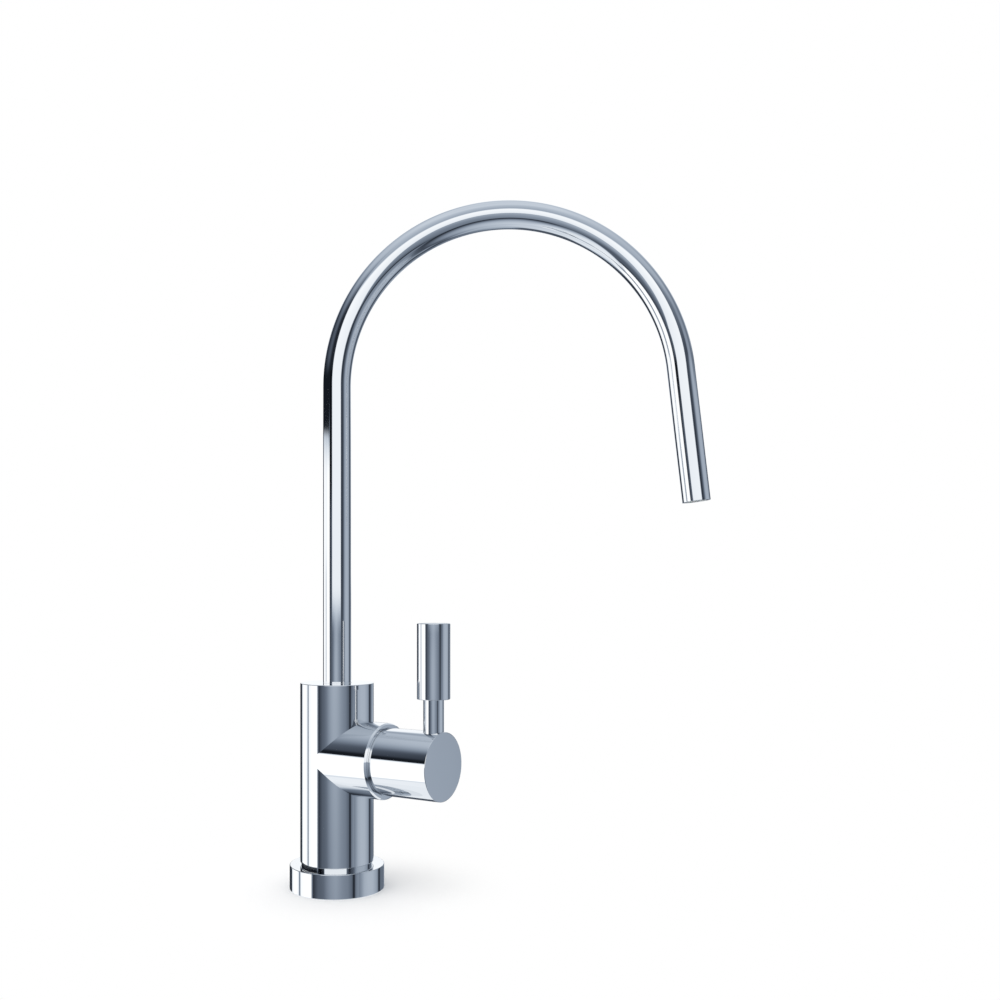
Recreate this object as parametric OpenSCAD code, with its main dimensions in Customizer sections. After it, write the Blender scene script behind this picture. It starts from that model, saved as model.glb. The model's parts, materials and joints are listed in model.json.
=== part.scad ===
// Drinking water faucet with a swan-neck spout, a side lever and a quarter-turn ceramic valve.
// The deck plane is Z = 0, +Z is up, the spout reaches towards +X, and lengths are millimetres.

/* [Spout] */
// Outside diameter of the spout tube
tube_d = 12; // [11:0.5:13]
// Wall of the spout tube
tube_wall = 1; // [0.8:0.1:1.3]
// Height above the deck where the straight riser turns into the arch
arch_start_h = 214.5; // [150:0.5:260]
// Radius of the arch at the middle of the tube
arch_r = 74; // [50:1:95]
// Tilt of the straight tail away from upright, in degrees
tail_tilt = 6.7; // [0:0.1:20]
// Straight length of the tail below the arch
tail_l = 58; // [30:0.5:90]
// How far the flow straightener sits up inside the outlet
outlet_recess = 1.5; // [0.5:0.5:5]
// Thickness of the flow straightener
straightener_t = 5; // [3:0.5:10]

/* [Base flange] */
// Diameter of the base flange on the deck
base_d = 40.4; // [38:0.2:50]
// Height of the base flange
base_h = 10.3; // [8:0.1:14]
// Outside diameter of the gasket in the underside of the flange
gasket_d = 36.4; // [33:0.2:37]
// Width of the gasket ring
gasket_w = 3.6; // [2:0.2:4]
// Thickness of the gasket
gasket_t = 2; // [1:0.5:3]

/* [Body] */
// Diameter of the upright body
body_d = 31.4; // [30.4:0.2:36]
// Height of the body above its neck
body_h = 76.2; // [74:0.2:95]
// Diameter of the short neck between the body and the flange
neck_d = 30.4; // [28:0.2:30.4]
// Height of the neck
neck_h = 1.2; // [0.5:0.1:3]
// Diameter of the spigot that centres the body in the flange
spigot_d = 24; // [23:0.2:26]
// Distance from the deck to the bottom of the spigot
spigot_h = 3; // [2:0.5:5]
// Diameter of the water chamber in the lower body
chamber_d = 18; // [14:0.5:19]
// Height of the top of that chamber above the deck
chamber_top_h = 42; // [25:1:46]
// Bore of the inlet passages
inlet_bore_d = 7; // [5:0.5:8]
// Small edge break on turned metal edges
edge = 0.2; // [0.1:0.1:0.6]

/* [Valve branch] */
// Height of the valve axis above the deck
valve_h = 56; // [54:0.5:57]
// Angle of the valve branch from the spout direction, in degrees
valve_turn = 33; // [0:1:90]
// Diameter of the barrel that holds the valve
barrel_d = 31.8; // [30.4:0.2:32]
// Distance from the body axis to the end of the barrel's straight side
barrel_l = 25.9; // [25:0.1:34]
// Length of the taper that ends the barrel
taper_l = 0.9; // [0.7:0.1:2]
// How far the taper comes in from the side of the barrel
taper_inset = 0.6; // [0.4:0.1:0.8]
// Depth of the recess in the barrel's end that the hub runs in
nest_l = 0.6; // [0.4:0.1:0.8]
// Radial clearance of the hub in that recess
nest_fit = 0.1; // [0.06:0.02:0.2]
// Distance from the body axis to the valve seat
seat_l = 8; // [7.5:0.5:9]
// Diameter of the cavity round the valve
cavity_d = 20; // [18.5:0.5:21]
// Major diameter of the thread that holds the valve
gland_d = 22; // [21.5:0.5:24]
// Bore of the slanted passage from the valve to the spout
passage_d = 4; // [3:0.5:4.5]

/* [Quarter-turn valve] */
// Diameter of the ceramic discs
disc_d = 13; // [12:0.2:13.6]
// Thickness of each ceramic disc
disc_t = 2.5; // [2:0.1:3]
// Opening angle of each of the two ports in a disc
port_angle = 70; // [40:1:80]
// Radius of the web left at the middle of the discs
port_inner_r = 1.8; // [1.5:0.1:2.5]
// Radius at which the ports of the fixed disc end
port_outer_r = 4.9; // [4:0.1:5]
// Thickness of the rubber seal behind the fixed disc
seal_t = 1.4; // [1:0.1:2]
// Diameter of the spindle
spindle_d = 8; // [7.6:0.2:8.6]
// Angle through which the handle turns, in degrees
quarter_turn = 90; // [60:1:100]
// Width across the flats of the valve's hexagon
gland_hex = 15; // [14:0.5:16]
// Number of spline teeth
spline_teeth = 20; // [12:1:24]
// Depth of the spline teeth
spline_depth = 0.5; // [0.3:0.1:0.7]

/* [Handle] */
// Gap between the floor of the barrel's recess and the hub of the handle
hub_gap = 0.2; // [0.1:0.05:0.4]
// Diameter of the hub
hub_d = 28; // [24:0.2:29]
// Length of the hub
hub_l = 27.6; // [27.6:0.1:34]
// Distance from the hub's front face to the axis of the lever
lever_inset = 4.8; // [4.8:0.1:6]
// Diameter of the lever rod
rod_d = 8.4; // [7.6:0.2:8.6]
// Distance from the valve axis to the lower end of the grip
grip_start = 27.1; // [20:0.1:36]
// Diameter of the grip
grip_d = 13.5; // [11:0.1:16]
// Length of the grip
grip_l = 30.6; // [20:0.1:45]

/* [Spout swivel] */
// Height of the slide ring in the top of the body
guide_ring_h = 3.2; // [2:0.2:4]
// Depth of the slide ring's groove in the body
guide_groove = 1.4; // [1:0.1:2]
// Distance from the top of the body to the slide ring
top_land = 1.2; // [0.8:0.1:2]
// Width of each seal groove
ring_groove_w = 2.2; // [1.8:0.1:2.4]
// Depth of the seal grooves in the spout sleeve
ring_groove_t = 1.3; // [1:0.1:1.4]
// Width of the groove that the lock screw runs in
lock_groove_w = 3.2; // [2.9:0.1:3.6]
// Diameter of the lock screw
lock_screw_d = 4; // [3:0.5:5]

/* [Deck clamp and inlet] */
// Major diameter of the threaded shank
shank_d = 11.1; // [10:0.1:12]
// Bore of the shank
shank_bore = 6.4; // [5:0.1:7]
// Length of the shank below the deck
shank_below = 48; // [44:1:60]
// Diameter of the shank's threaded head in the body
shank_head_d = 20; // [19.4:0.2:20.4]
// Length of the shank's head
shank_head_l = 10; // [8:0.5:12]
// Thickness of the deck at which the clamp is drawn
deck_t = 12; // [4:1:18]
// Diameter of the clamp washers
washer_d = 32; // [26:1:38]
// Width across the flats of the mounting nut
nut_hex = 19; // [17:1:22]
// Thickness of the mounting nut
nut_t = 7; // [5:0.5:9]
// Outside diameter of the inlet tube
inlet_tube_d = 6.35; // [6:0.05:6.4]
// Outside diameter of the inlet connector
connector_d = 17; // [16:0.5:20]
// Length of the inlet connector
connector_l = 33; // [32:0.5:38]

/* [Fits] */
// Radial clearance of parts that turn or slide in each other
run_fit = 0.05; // [0.02:0.01:0.08]
// Gap between parts that are screwed or pressed together
seat_fit = 0.03; // [0.01:0.01:0.05]

/* [Hidden] */
$fn = 96;
cut = 1;

// Body heights
neck_top = base_h + neck_h;
body_top = neck_top + body_h;

// Spout sleeve, worked out downwards from the top of the body
tube_r = tube_d / 2;
tube_bore_r = tube_r - tube_wall;
socket_r = tube_r + run_fit;
guide_top = body_top - top_land;
guide_low = guide_top - guide_ring_h;
sleeve_land = 1;
tube_end = guide_low - run_fit;
upper_groove = tube_end - sleeve_land - ring_groove_w;
lock_groove = upper_groove - sleeve_land - lock_groove_w;
lower_groove = lock_groove - sleeve_land - ring_groove_w;
sleeve_end = lower_groove - sleeve_land;
sleeve_bore_r = tube_bore_r - 1.7;
sleeve_spigot_l = 8;
ring_groove_r = tube_r - ring_groove_t;
socket_floor = sleeve_end - 2 * run_fit;
socket_ledge = 1;
pocket_r = socket_r - socket_ledge;
pocket_floor = socket_floor - 6.9;
lock_h = lock_groove + lock_groove_w / 2;
lock_tip_r = ring_groove_r + 0.3;
lock_tip_d = lock_groove_w - 0.6;
lock_tip_l = 1.5;
lock_recess = 1.2;
lock_screw_l = body_d / 2 - lock_recess - lock_tip_r - lock_tip_l;

// Valve, worked out outwards from its seat
body_r = body_d / 2;
barrel_r = barrel_d / 2;
barrel_end = barrel_l + taper_l;
nest_floor = barrel_end - nest_l;
cavity_r = cavity_d / 2;
gland_r = gland_d / 2;
disc_r = disc_d / 2;
face_gap = 0.02;
fixed_disc_l = seat_l + seal_t;
turning_disc_l = fixed_disc_l + disc_t + face_gap;
driver_l = turning_disc_l + disc_t;
driver_t = 1.3;
stop_l = driver_l + driver_t;
stop_t = 2;
slip_ring_t = 0.5;
slip_ring_l = stop_l + stop_t + face_gap;
shoulder_l = slip_ring_l + slip_ring_t + face_gap;
shell_bore_r = disc_r + 0.1;
shell_r = shell_bore_r + 1.4;
shell_l = seat_l + 0.2;
stop_hub_r = 5.2;
stop_lug = 40;
stop_play = 0.6;
gland_l = seat_l + 8.5;
gland_face = barrel_l - 0.5;
gland_nose = gland_face + 3;
gland_corner_r = gland_hex / 2 / cos(30);
gland_groove_l = gland_l + 0.7;
gland_groove_w = 2.2;
gland_groove_r = gland_r + seat_fit - 1.45;
window_w = 9;
key_w = 2.4;
key_r = shell_r - 0.4;
tongue_w = 2;
tongue_l = 10;
tongue_t = 1.2;

// Spindle, worked out outwards from the housing
spindle_r = spindle_d / 2;
bearing_r = spindle_r + run_fit;
spindle_groove_r = spindle_r - 1.2;
spindle_groove_w = 1.8;
spindle_groove_l = [shoulder_l + 1.2, shoulder_l + 4.4];
circlip_l = gland_nose + 0.1;
circlip_t = 0.8;
circlip_groove_r = spindle_r - 0.7;
circlip_r = spindle_r + 1.4;

// Handle
hub_back = nest_floor + hub_gap;
hub_face = hub_back + hub_l;
hub_r = hub_d / 2;
lever_l = hub_face - lever_inset;
hub_recess_end = gland_nose + 1.8;
bush_l = 12;
bush_end = hub_recess_end + bush_l;
bush_r = spindle_r + 2.5;
spline_start = hub_recess_end - 0.2;
spindle_tail_r = spindle_r - 0.6;
spindle_end = lever_l + 2.2;
rod_r = rod_d / 2;
rod_seat = hub_r - 1.5;
lever_thread_r = 3;
lever_tip_r = 1.5;
lever_tip_low = 2;
spindle_hole_low = lever_tip_low - 0.3;
grip_r = grip_d / 2;
grip_thread_l = 15;

// Bend of the spout: thinning of the wall on each side, and lap of the tail on the arch
bend_thinning = 0.03;
tail_lap = 0.3;

// Shank and inlet, worked out downwards
shank_r = shank_d / 2;
shank_head_r = shank_head_d / 2;
shank_head_top = spigot_h + shank_head_l;
shank_groove_w = 2.2;
shank_groove_l = shank_head_top - 3.2;
shank_groove_r = shank_head_r + seat_fit - 1.45;
gasket_in_r = gasket_d / 2 - gasket_w;
rubber_t = 2.5;
steel_t = 1.5;
connector_r = connector_d / 2;
connector_hold = 11;
connector_top = -shank_below + connector_hold;
connector_low = connector_top - connector_l;
connector_hex_l = 10;
face_seal_t = 1.5;
stop_web_t = 2;
stop_hole_r = 2.4;
inlet_bore_r = inlet_tube_d / 2 + run_fit;
bore_top = -shank_below - face_seal_t - stop_web_t;
bore_l = 8.5;
inlet_seal_t = 2.4;
inlet_seal_r = inlet_bore_r + 1.75;
seal_low = bore_top - bore_l - inlet_seal_t;
collet_land_r = inlet_bore_r + 1;
collet_land_l = 0.8;
collet_r = inlet_bore_r + 0.75;
collet_tip_r = collet_r + 0.5;
collet_travel = 1.2;
cam_top = seal_low - collet_land_l;
collet_top = cam_top - collet_travel - 0.2;
collet_tip_l = 1.4;
cam_r = collet_tip_r + 0.3;
cam_l = 4;
collet_flange_t = 1.5;
collet_flange_top = connector_low - collet_travel - 0.2;

// A bead of seal that fills the space between a groove and its bore
module o_ring(inner_r, outer_r) {
    bead_r = (outer_r - inner_r) / 2 - seat_fit;
    rotate_extrude() translate([(inner_r + outer_r) / 2, 0]) circle(r = bead_r, $fn = 48);
}

// A turned disc or shaft with both edges broken
module turned(r, h, low_break = 0, top_break = 0) {
    rotate_extrude() polygon([
        [0, 0], [r - low_break, 0], [r, low_break],
        [r, h - top_break], [r - top_break, h], [0, h]
    ]);
}

// A flat ring
module ring(inner_r, outer_r, h) {
    rotate_extrude() translate([inner_r, 0]) square([outer_r - inner_r, h]);
}

// A pie slice centred on the angle mid
module slice(r, h, angle, mid) {
    rotate([0, 0, mid - angle / 2]) rotate_extrude(angle = angle) square([r, h]);
}

// A sector of a ring centred on the angle mid
module ring_sector(inner_r, outer_r, h, angle, mid) {
    rotate([0, 0, mid - angle / 2])
        rotate_extrude(angle = angle) translate([inner_r, 0]) square([outer_r - inner_r, h]);
}

// A nut or hexagonal collar measured across its flats
module hexagon(flats, h) {
    cylinder(r = flats / 2 / cos(30), h = h, $fn = 6);
}

// Toothed outline of the spline, grown outwards by play
module spline_outline(play) {
    step = 360 / spline_teeth;
    tip = spindle_r - 0.05 + play;
    root = spindle_r - spline_depth + play;
    polygon([for (i = [0:spline_teeth - 1], k = [0:3])
        let (angle = step * (i + [0.08, 0.32, 0.58, 0.92][k]), r = k < 2 ? tip : root)
        [r * cos(angle), r * sin(angle)]]);
}

// Stands children on the valve axis: local Z runs out along the barrel and local X points up
module on_valve() {
    translate([0, 0, valve_h]) rotate([0, 90, -valve_turn]) rotate([0, 0, 180]) children();
}

// Lays children along the lever: local Z runs up the lever from the valve axis
module on_lever() {
    on_valve() translate([0, 0, lever_l]) rotate([0, 90, 0]) children();
}

// Stands children at the outlet: local Z runs up the tail
module at_outlet() {
    translate([arch_r, 0, arch_start_h]) rotate([0, -tail_tilt, 0])
        translate([arch_r, 0, -tail_l]) children();
}

// A straight length of the spout's tube
module straight_tube(length) {
    rotate_extrude() translate([tube_bore_r, 0]) square([tube_wall, length]);
}

// Slanted water passage from the valve cavity up to the pocket under the spout sleeve
module spout_passage() {
    low = [seat_l, cavity_r - 0.4];
    high = [pocket_r, socket_floor - valve_h - 2.9];
    run = low[0] - high[0];
    rise = high[1] - low[1];
    length = norm([run, rise]);
    reach = 3;
    on_valve() translate([low[1], 0, low[0]]) rotate([0, atan2(rise, -run), 0])
        translate([0, 0, -reach]) cylinder(d = passage_d, h = length + 2 * reach, $fn = 48);
}

// Bored body with its barrel
module valve_body() {
    color([0.78, 0.80, 0.83]) difference() {
        union() {
            rotate_extrude() polygon([
                [0, spigot_h], [spigot_d / 2 - edge, spigot_h], [spigot_d / 2, spigot_h + edge],
                [spigot_d / 2, base_h], [neck_d / 2, base_h], [neck_d / 2, neck_top],
                [body_r - edge, neck_top], [body_r, neck_top + edge],
                [body_r, body_top - edge], [body_r - edge, body_top], [0, body_top]
            ]);
            on_valve() rotate_extrude() polygon([
                [0, 0], [barrel_r, 0], [barrel_r, barrel_l],
                [barrel_r - taper_inset, barrel_end], [0, barrel_end]
            ]);
        }
        body_bores();
        on_valve() barrel_bores();
        spout_passage();
        lock_hole();
    }
}

// Bores on the upright axis: shank seat, chamber, inlet, pocket, socket and slide ring groove
module body_bores() {
    chamber_r = chamber_d / 2;
    inlet_r = inlet_bore_d / 2;
    rotate_extrude() polygon([
        [0, spigot_h - cut], [shank_head_r + seat_fit, spigot_h - cut],
        [shank_head_r + seat_fit, shank_head_top + seat_fit], [chamber_r, shank_head_top + seat_fit],
        [chamber_r, chamber_top_h - chamber_r + inlet_r], [inlet_r, chamber_top_h],
        [inlet_r, valve_h + inlet_r - 1], [0, valve_h + inlet_r]
    ]);
    rotate_extrude() polygon([
        [0, pocket_floor - 1], [pocket_r, pocket_floor], [pocket_r, socket_floor],
        [socket_r, socket_floor], [socket_r, guide_low], [socket_r + guide_groove, guide_low],
        [socket_r + guide_groove, guide_top], [socket_r, guide_top],
        [socket_r, body_top - edge], [socket_r + edge, body_top + face_gap],
        [socket_r + edge, body_top + cut], [0, body_top + cut]
    ]);
}

// Bores of the barrel: seat port, valve cavity, thread and the recess that the hub runs in
module barrel_bores() {
    nest_r = hub_d / 2 + nest_fit;
    cylinder(d = inlet_bore_d, h = seat_l + cut);
    rotate_extrude() polygon([
        [0, seat_l], [cavity_r, seat_l], [cavity_r, gland_l], [gland_r + seat_fit, gland_l],
        [gland_r + seat_fit, nest_floor - edge], [gland_r + seat_fit + edge, nest_floor],
        [nest_r, nest_floor], [nest_r, barrel_end + cut], [0, barrel_end + cut]
    ]);
}

// Tapped hole for the lock screw, straight through the back wall
module lock_hole() {
    translate([0, 0, lock_h]) rotate([-90, 0, 0])
        cylinder(r = lock_screw_d / 2 + seat_fit, h = body_r + cut, $fn = 48);
}

// Heavy ring on the deck that the body stands in
module base_flange() {
    base_r = base_d / 2;
    hole_r = spigot_d / 2 + seat_fit;
    color([0.78, 0.80, 0.83]) difference() {
        rotate_extrude() polygon([
            [hole_r, 0], [base_r - edge, 0], [base_r, edge],
            [base_r, base_h - edge], [base_r - edge, base_h], [hole_r, base_h]
        ]);
        translate([0, 0, -cut])
            ring(gasket_in_r - seat_fit, gasket_d / 2 + seat_fit, gasket_t + seat_fit + cut);
    }
}

// Flat rubber ring flush with the underside of the flange
module base_gasket() {
    color([0.12, 0.12, 0.12]) ring(gasket_in_r, gasket_d / 2, gasket_t);
}

// Hollow shank: its head screws into the body and its stem hangs through the deck
module threaded_shank() {
    color([0.75, 0.62, 0.35]) difference() {
        rotate_extrude() polygon([
            [0, -shank_below], [shank_r - edge, -shank_below], [shank_r, edge - shank_below],
            [shank_r, spigot_h], [shank_head_r, spigot_h], [shank_head_r, shank_groove_l],
            [shank_groove_r, shank_groove_l], [shank_groove_r, shank_groove_l + shank_groove_w],
            [shank_head_r, shank_groove_l + shank_groove_w],
            [shank_head_r, shank_head_top - edge], [shank_head_r - edge, shank_head_top],
            [0, shank_head_top]
        ]);
        translate([0, 0, -shank_below - cut])
            cylinder(d = shank_bore, h = shank_below + shank_head_top + 2 * cut);
        for (side = [0, 180]) rotate([0, 0, side])
            translate([shank_r + 2, -1, spigot_h - cut]) cube([shank_head_r, 2, 2 + cut]);
    }
}

// Seal of the shank's head in the body
module shank_o_ring() {
    color([0.10, 0.10, 0.10]) translate([0, 0, shank_groove_l + shank_groove_w / 2])
        o_ring(shank_groove_r, shank_head_r + seat_fit);
}

// Plastic connector screwed on the end of the shank, with a plug-in seat for the inlet tube
module inlet_connector() {
    color([0.88, 0.88, 0.86]) difference() {
        union() {
            translate([0, 0, connector_top - connector_hex_l])
                hexagon(connector_d, connector_hex_l);
            translate([0, 0, connector_low])
                turned(connector_r - 0.6, connector_l - connector_hex_l, 1, 0);
        }
        rotate_extrude() polygon([
            [0, connector_low - cut], [collet_r + run_fit, connector_low - cut],
            [collet_r + run_fit, cam_top - cam_l - 1], [cam_r, cam_top - cam_l],
            [cam_r, cam_top], [collet_land_r, cam_top], [collet_land_r, seal_low],
            [inlet_seal_r, seal_low], [inlet_seal_r, seal_low + inlet_seal_t],
            [inlet_bore_r, seal_low + inlet_seal_t], [inlet_bore_r, bore_top],
            [stop_hole_r, bore_top], [stop_hole_r, bore_top + stop_web_t],
            [shank_r + seat_fit, bore_top + stop_web_t], [shank_r + seat_fit, connector_top + cut],
            [0, connector_top + cut]
        ]);
    }
}

// Flat seal between the shank's end and the connector
module inlet_face_seal() {
    color([0.15, 0.15, 0.15]) translate([0, 0, -shank_below - face_seal_t])
        ring(shank_bore / 2, shank_r - edge, face_seal_t);
}

// Seal that grips the inlet tube
module inlet_o_ring() {
    color([0.10, 0.10, 0.10]) translate([0, 0, seal_low + inlet_seal_t / 2])
        o_ring(inlet_bore_r, inlet_seal_r);
}

// Split collet that grips the inlet tube and is pressed in to let it go
module inlet_collet() {
    color([0.25, 0.28, 0.32]) difference() {
        rotate_extrude() polygon([
            [inlet_bore_r, collet_flange_top - collet_flange_t],
            [collet_r + 1.6, collet_flange_top - collet_flange_t],
            [collet_r + 1.6, collet_flange_top], [collet_r, collet_flange_top],
            [collet_r, collet_top - collet_tip_l - 0.6], [collet_tip_r, collet_top - collet_tip_l],
            [collet_tip_r, collet_top - 0.3], [collet_tip_r - 0.3, collet_top],
            [inlet_bore_r, collet_top]
        ]);
        for (turn = [0, 90]) rotate([0, 0, turn])
            translate([-collet_tip_r - cut, -0.5, collet_top - 5])
                cube([2 * (collet_tip_r + cut), 1, 5 + cut]);
    }
}

// Rubber washer that presses on the underside of the deck
module clamp_rubber_washer() {
    color([0.12, 0.12, 0.12]) translate([0, 0, -deck_t - rubber_t])
        ring(shank_r + 0.3, washer_d / 2, rubber_t);
}

// Steel washer that backs the rubber one
module clamp_steel_washer() {
    color([0.70, 0.71, 0.72]) translate([0, 0, -deck_t - rubber_t - steel_t])
        ring(shank_r + 0.3, washer_d / 2, steel_t);
}

// Nut on the shank, with chamfered corners
module mounting_nut() {
    corner_r = nut_hex / 2 / cos(30);
    low = -deck_t - rubber_t - steel_t - nut_t;
    color([0.75, 0.62, 0.35]) translate([0, 0, low]) difference() {
        intersection() {
            hexagon(nut_hex, nut_t);
            turned(corner_r, nut_t, 0.8, 0.8);
        }
        translate([0, 0, -cut]) cylinder(r = shank_r + run_fit, h = nut_t + 2 * cut);
    }
}

// Brass housing of the valve, screwed into the barrel
module valve_cartridge() {
    travel = quarter_turn + stop_lug + 2 * stop_play;
    color([0.80, 0.66, 0.36]) on_valve() difference() {
        union() {
            rotate_extrude() polygon([
                [0, shell_l], [shell_r, shell_l], [shell_r, gland_l + seat_fit],
                [gland_r - edge, gland_l + seat_fit], [gland_r, gland_l + seat_fit + edge],
                [gland_r, gland_groove_l],
                [gland_groove_r, gland_groove_l],
                [gland_groove_r, gland_groove_l + gland_groove_w],
                [gland_r, gland_groove_l + gland_groove_w], [gland_r, gland_face - edge],
                [gland_r - edge, gland_face], [0, gland_face]
            ]);
            translate([0, 0, gland_face - cut]) intersection() {
                hexagon(gland_hex, gland_nose - gland_face + cut);
                turned(gland_corner_r, gland_nose - gland_face + cut, 0, 0.6);
            }
        }
        difference() {
            translate([0, 0, shell_l - cut]) cylinder(r = shell_bore_r, h = shoulder_l - shell_l + cut);
            translate([0, 0, stop_l + face_gap]) ring_sector(
                stop_hub_r + run_fit, shell_bore_r + cut, shoulder_l - stop_l,
                360 - travel, 180 + quarter_turn / 2);
        }
        cylinder(r = bearing_r, h = gland_nose + cut);
        translate([-window_w / 2, -shell_r - cut, turning_disc_l - 0.4])
            cube([window_w, 2 * (shell_r + cut), disc_t + 1.2]);
        translate([-shell_r - cut, -key_w / 2 - seat_fit, shell_l - cut])
            cube([2 * (shell_r + cut), key_w + 2 * seat_fit, turning_disc_l - shell_l + cut]);
    }
}

// Seal of the valve in the barrel
module cartridge_o_ring() {
    color([0.10, 0.10, 0.10]) on_valve()
        translate([0, 0, gland_groove_l + gland_groove_w / 2])
        o_ring(gland_groove_r, gland_r + seat_fit);
}

// Rubber ring between the seat in the body and the fixed disc
module seat_seal() {
    color([0.15, 0.15, 0.15]) on_valve() translate([0, 0, seat_l])
        ring(port_outer_r, disc_r, seal_t);
}

// Ceramic disc with two ports, keyed to the housing
module ceramic_disc_fixed() {
    color([0.94, 0.93, 0.88]) on_valve() translate([0, 0, fixed_disc_l]) difference() {
        union() {
            cylinder(r = disc_r, h = disc_t);
            intersection() {
                cylinder(r = key_r, h = disc_t);
                translate([-key_r, -key_w / 2, 0]) cube([2 * key_r, key_w, disc_t]);
            }
        }
        for (mid = [90, 270]) translate([0, 0, -cut])
            ring_sector(port_inner_r, port_outer_r, disc_t + 2 * cut, port_angle, mid);
    }
}

// Ceramic disc with two open notches, turned by the spindle
module ceramic_disc_turning() {
    color([0.94, 0.93, 0.88]) on_valve() translate([0, 0, turning_disc_l]) difference() {
        cylinder(r = disc_r, h = disc_t);
        for (mid = [0, 180]) translate([0, 0, -cut])
            ring_sector(port_inner_r, disc_r + cut, disc_t + 2 * cut, port_angle, mid);
        translate([-tongue_w / 2 - seat_fit, -disc_r - cut, disc_t - tongue_t - seat_fit])
            cube([tongue_w + 2 * seat_fit, 2 * (disc_r + cut), tongue_t + seat_fit + cut]);
    }
}

// Spindle from the driving tongue, past its stop lug and seals, to the splined outer end
module valve_spindle() {
    color([0.80, 0.66, 0.36]) on_valve() difference() {
        union() {
            rotate_extrude() polygon([
                [0, driver_l], [disc_r, driver_l], [disc_r, stop_l], [stop_hub_r, stop_l],
                [stop_hub_r, stop_l + stop_t], [spindle_r, stop_l + stop_t],
                for (low = spindle_groove_l) each [
                    [spindle_r, low], [spindle_groove_r, low],
                    [spindle_groove_r, low + spindle_groove_w], [spindle_r, low + spindle_groove_w]
                ],
                [spindle_r, circlip_l - face_gap], [circlip_groove_r, circlip_l - face_gap],
                [circlip_groove_r, circlip_l + circlip_t + face_gap],
                [spindle_r, circlip_l + circlip_t + face_gap],
                [spindle_r, spline_start], [spindle_tail_r, spline_start],
                [spindle_tail_r, spindle_end],
                [0, spindle_end]
            ]);
            translate([-tongue_w / 2, -tongue_l / 2, driver_l - tongue_t])
                cube([tongue_w, tongue_l, tongue_t]);
            translate([0, 0, stop_l])
                ring_sector(stop_hub_r - 0.5, disc_r - 0.1, stop_t, stop_lug, 0);
            translate([0, 0, spline_start]) linear_extrude(bush_end - spline_start)
                spline_outline(0);
        }
        translate([spindle_hole_low, 0, lever_l]) rotate([0, 90, 0])
            cylinder(r = lever_tip_r + seat_fit, h = spindle_r, $fn = 48);
    }
}

// Two seals on the spindle
module spindle_o_rings() {
    color([0.10, 0.10, 0.10]) on_valve()
        for (low = spindle_groove_l) translate([0, 0, low + spindle_groove_w / 2])
            o_ring(spindle_groove_r, bearing_r);
}

// Plastic slip ring between the spindle's shoulder and the housing
module spindle_slip_ring() {
    color([0.92, 0.92, 0.90]) on_valve() translate([0, 0, slip_ring_l])
        ring(bearing_r, stop_hub_r, slip_ring_t);
}

// Spring clip that keeps the spindle in the housing
module spindle_circlip() {
    color([0.45, 0.46, 0.48]) on_valve() translate([0, 0, circlip_l]) difference() {
        ring(circlip_groove_r + seat_fit, circlip_r, circlip_t);
        translate([0, 0, -cut]) slice(circlip_r + cut, circlip_t + 2 * cut, 50, 180);
    }
}

// Hub of the handle, bored from the back and tapped for the lever
module handle_hub() {
    recess_r = gland_corner_r + 0.8;
    color([0.78, 0.80, 0.83]) difference() {
        on_valve() translate([0, 0, hub_back]) turned(hub_r, hub_l, edge, edge);
        on_valve() rotate_extrude() polygon([
            [0, hub_back - cut], [recess_r, hub_back - cut],
            [recess_r, hub_recess_end], [bush_r + seat_fit, hub_recess_end],
            [bush_r + seat_fit, bush_end + seat_fit], [spindle_tail_r + seat_fit, bush_end + seat_fit],
            [spindle_tail_r + seat_fit, spindle_end + 0.3], [0, spindle_end + 0.3]
        ]);
        on_lever() cylinder(r = lever_thread_r + seat_fit, h = hub_r, $fn = 48);
        on_lever() translate([0, 0, rod_seat]) cylinder(r = rod_r + seat_fit, h = hub_r);
    }
}

// Plastic bush pressed in the hub, with the inner spline
module handle_spline_bush() {
    color([0.90, 0.90, 0.86]) on_valve() translate([0, 0, hub_recess_end]) difference() {
        cylinder(r = bush_r, h = bush_l);
        translate([0, 0, -cut]) linear_extrude(bush_l + 2 * cut) spline_outline(seat_fit);
    }
}

// Lever rod: its threaded tail and dog point pin the hub to the spindle
module lever_rod() {
    color([0.78, 0.80, 0.83]) on_lever() rotate_extrude() polygon([
        [0, lever_tip_low], [lever_tip_r, lever_tip_low],
        [lever_tip_r, spindle_tail_r + 0.2], [lever_thread_r, spindle_tail_r + 1.2],
        [lever_thread_r, rod_seat], [rod_r, rod_seat], [rod_r, grip_start],
        [lever_thread_r, grip_start], [lever_thread_r, grip_start + grip_thread_l - edge],
        [lever_thread_r - edge, grip_start + grip_thread_l], [0, grip_start + grip_thread_l]
    ]);
}

// Grip screwed on the rod
module lever_grip() {
    color([0.78, 0.80, 0.83]) on_lever() translate([0, 0, grip_start]) difference() {
        turned(grip_r, grip_l, edge, edge);
        translate([0, 0, -cut])
            cylinder(r = lever_thread_r + seat_fit, h = grip_thread_l + 1 + cut, $fn = 48);
    }
}

// Spout tube bent from one length: riser, arch and tilted tail, drawn a little thinner in the bend
module spout_tube() {
    color([0.78, 0.80, 0.83]) union() {
        translate([0, 0, tube_end]) straight_tube(arch_start_h - tube_end);
        translate([arch_r, 0, arch_start_h]) rotate([90, 0, 180])
            rotate_extrude(angle = 180 - tail_tilt) translate([arch_r, 0]) difference() {
                circle(r = tube_r - bend_thinning);
                circle(r = tube_bore_r + bend_thinning);
            }
        at_outlet() straight_tube(tail_l + tail_lap);
    }
}

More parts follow.
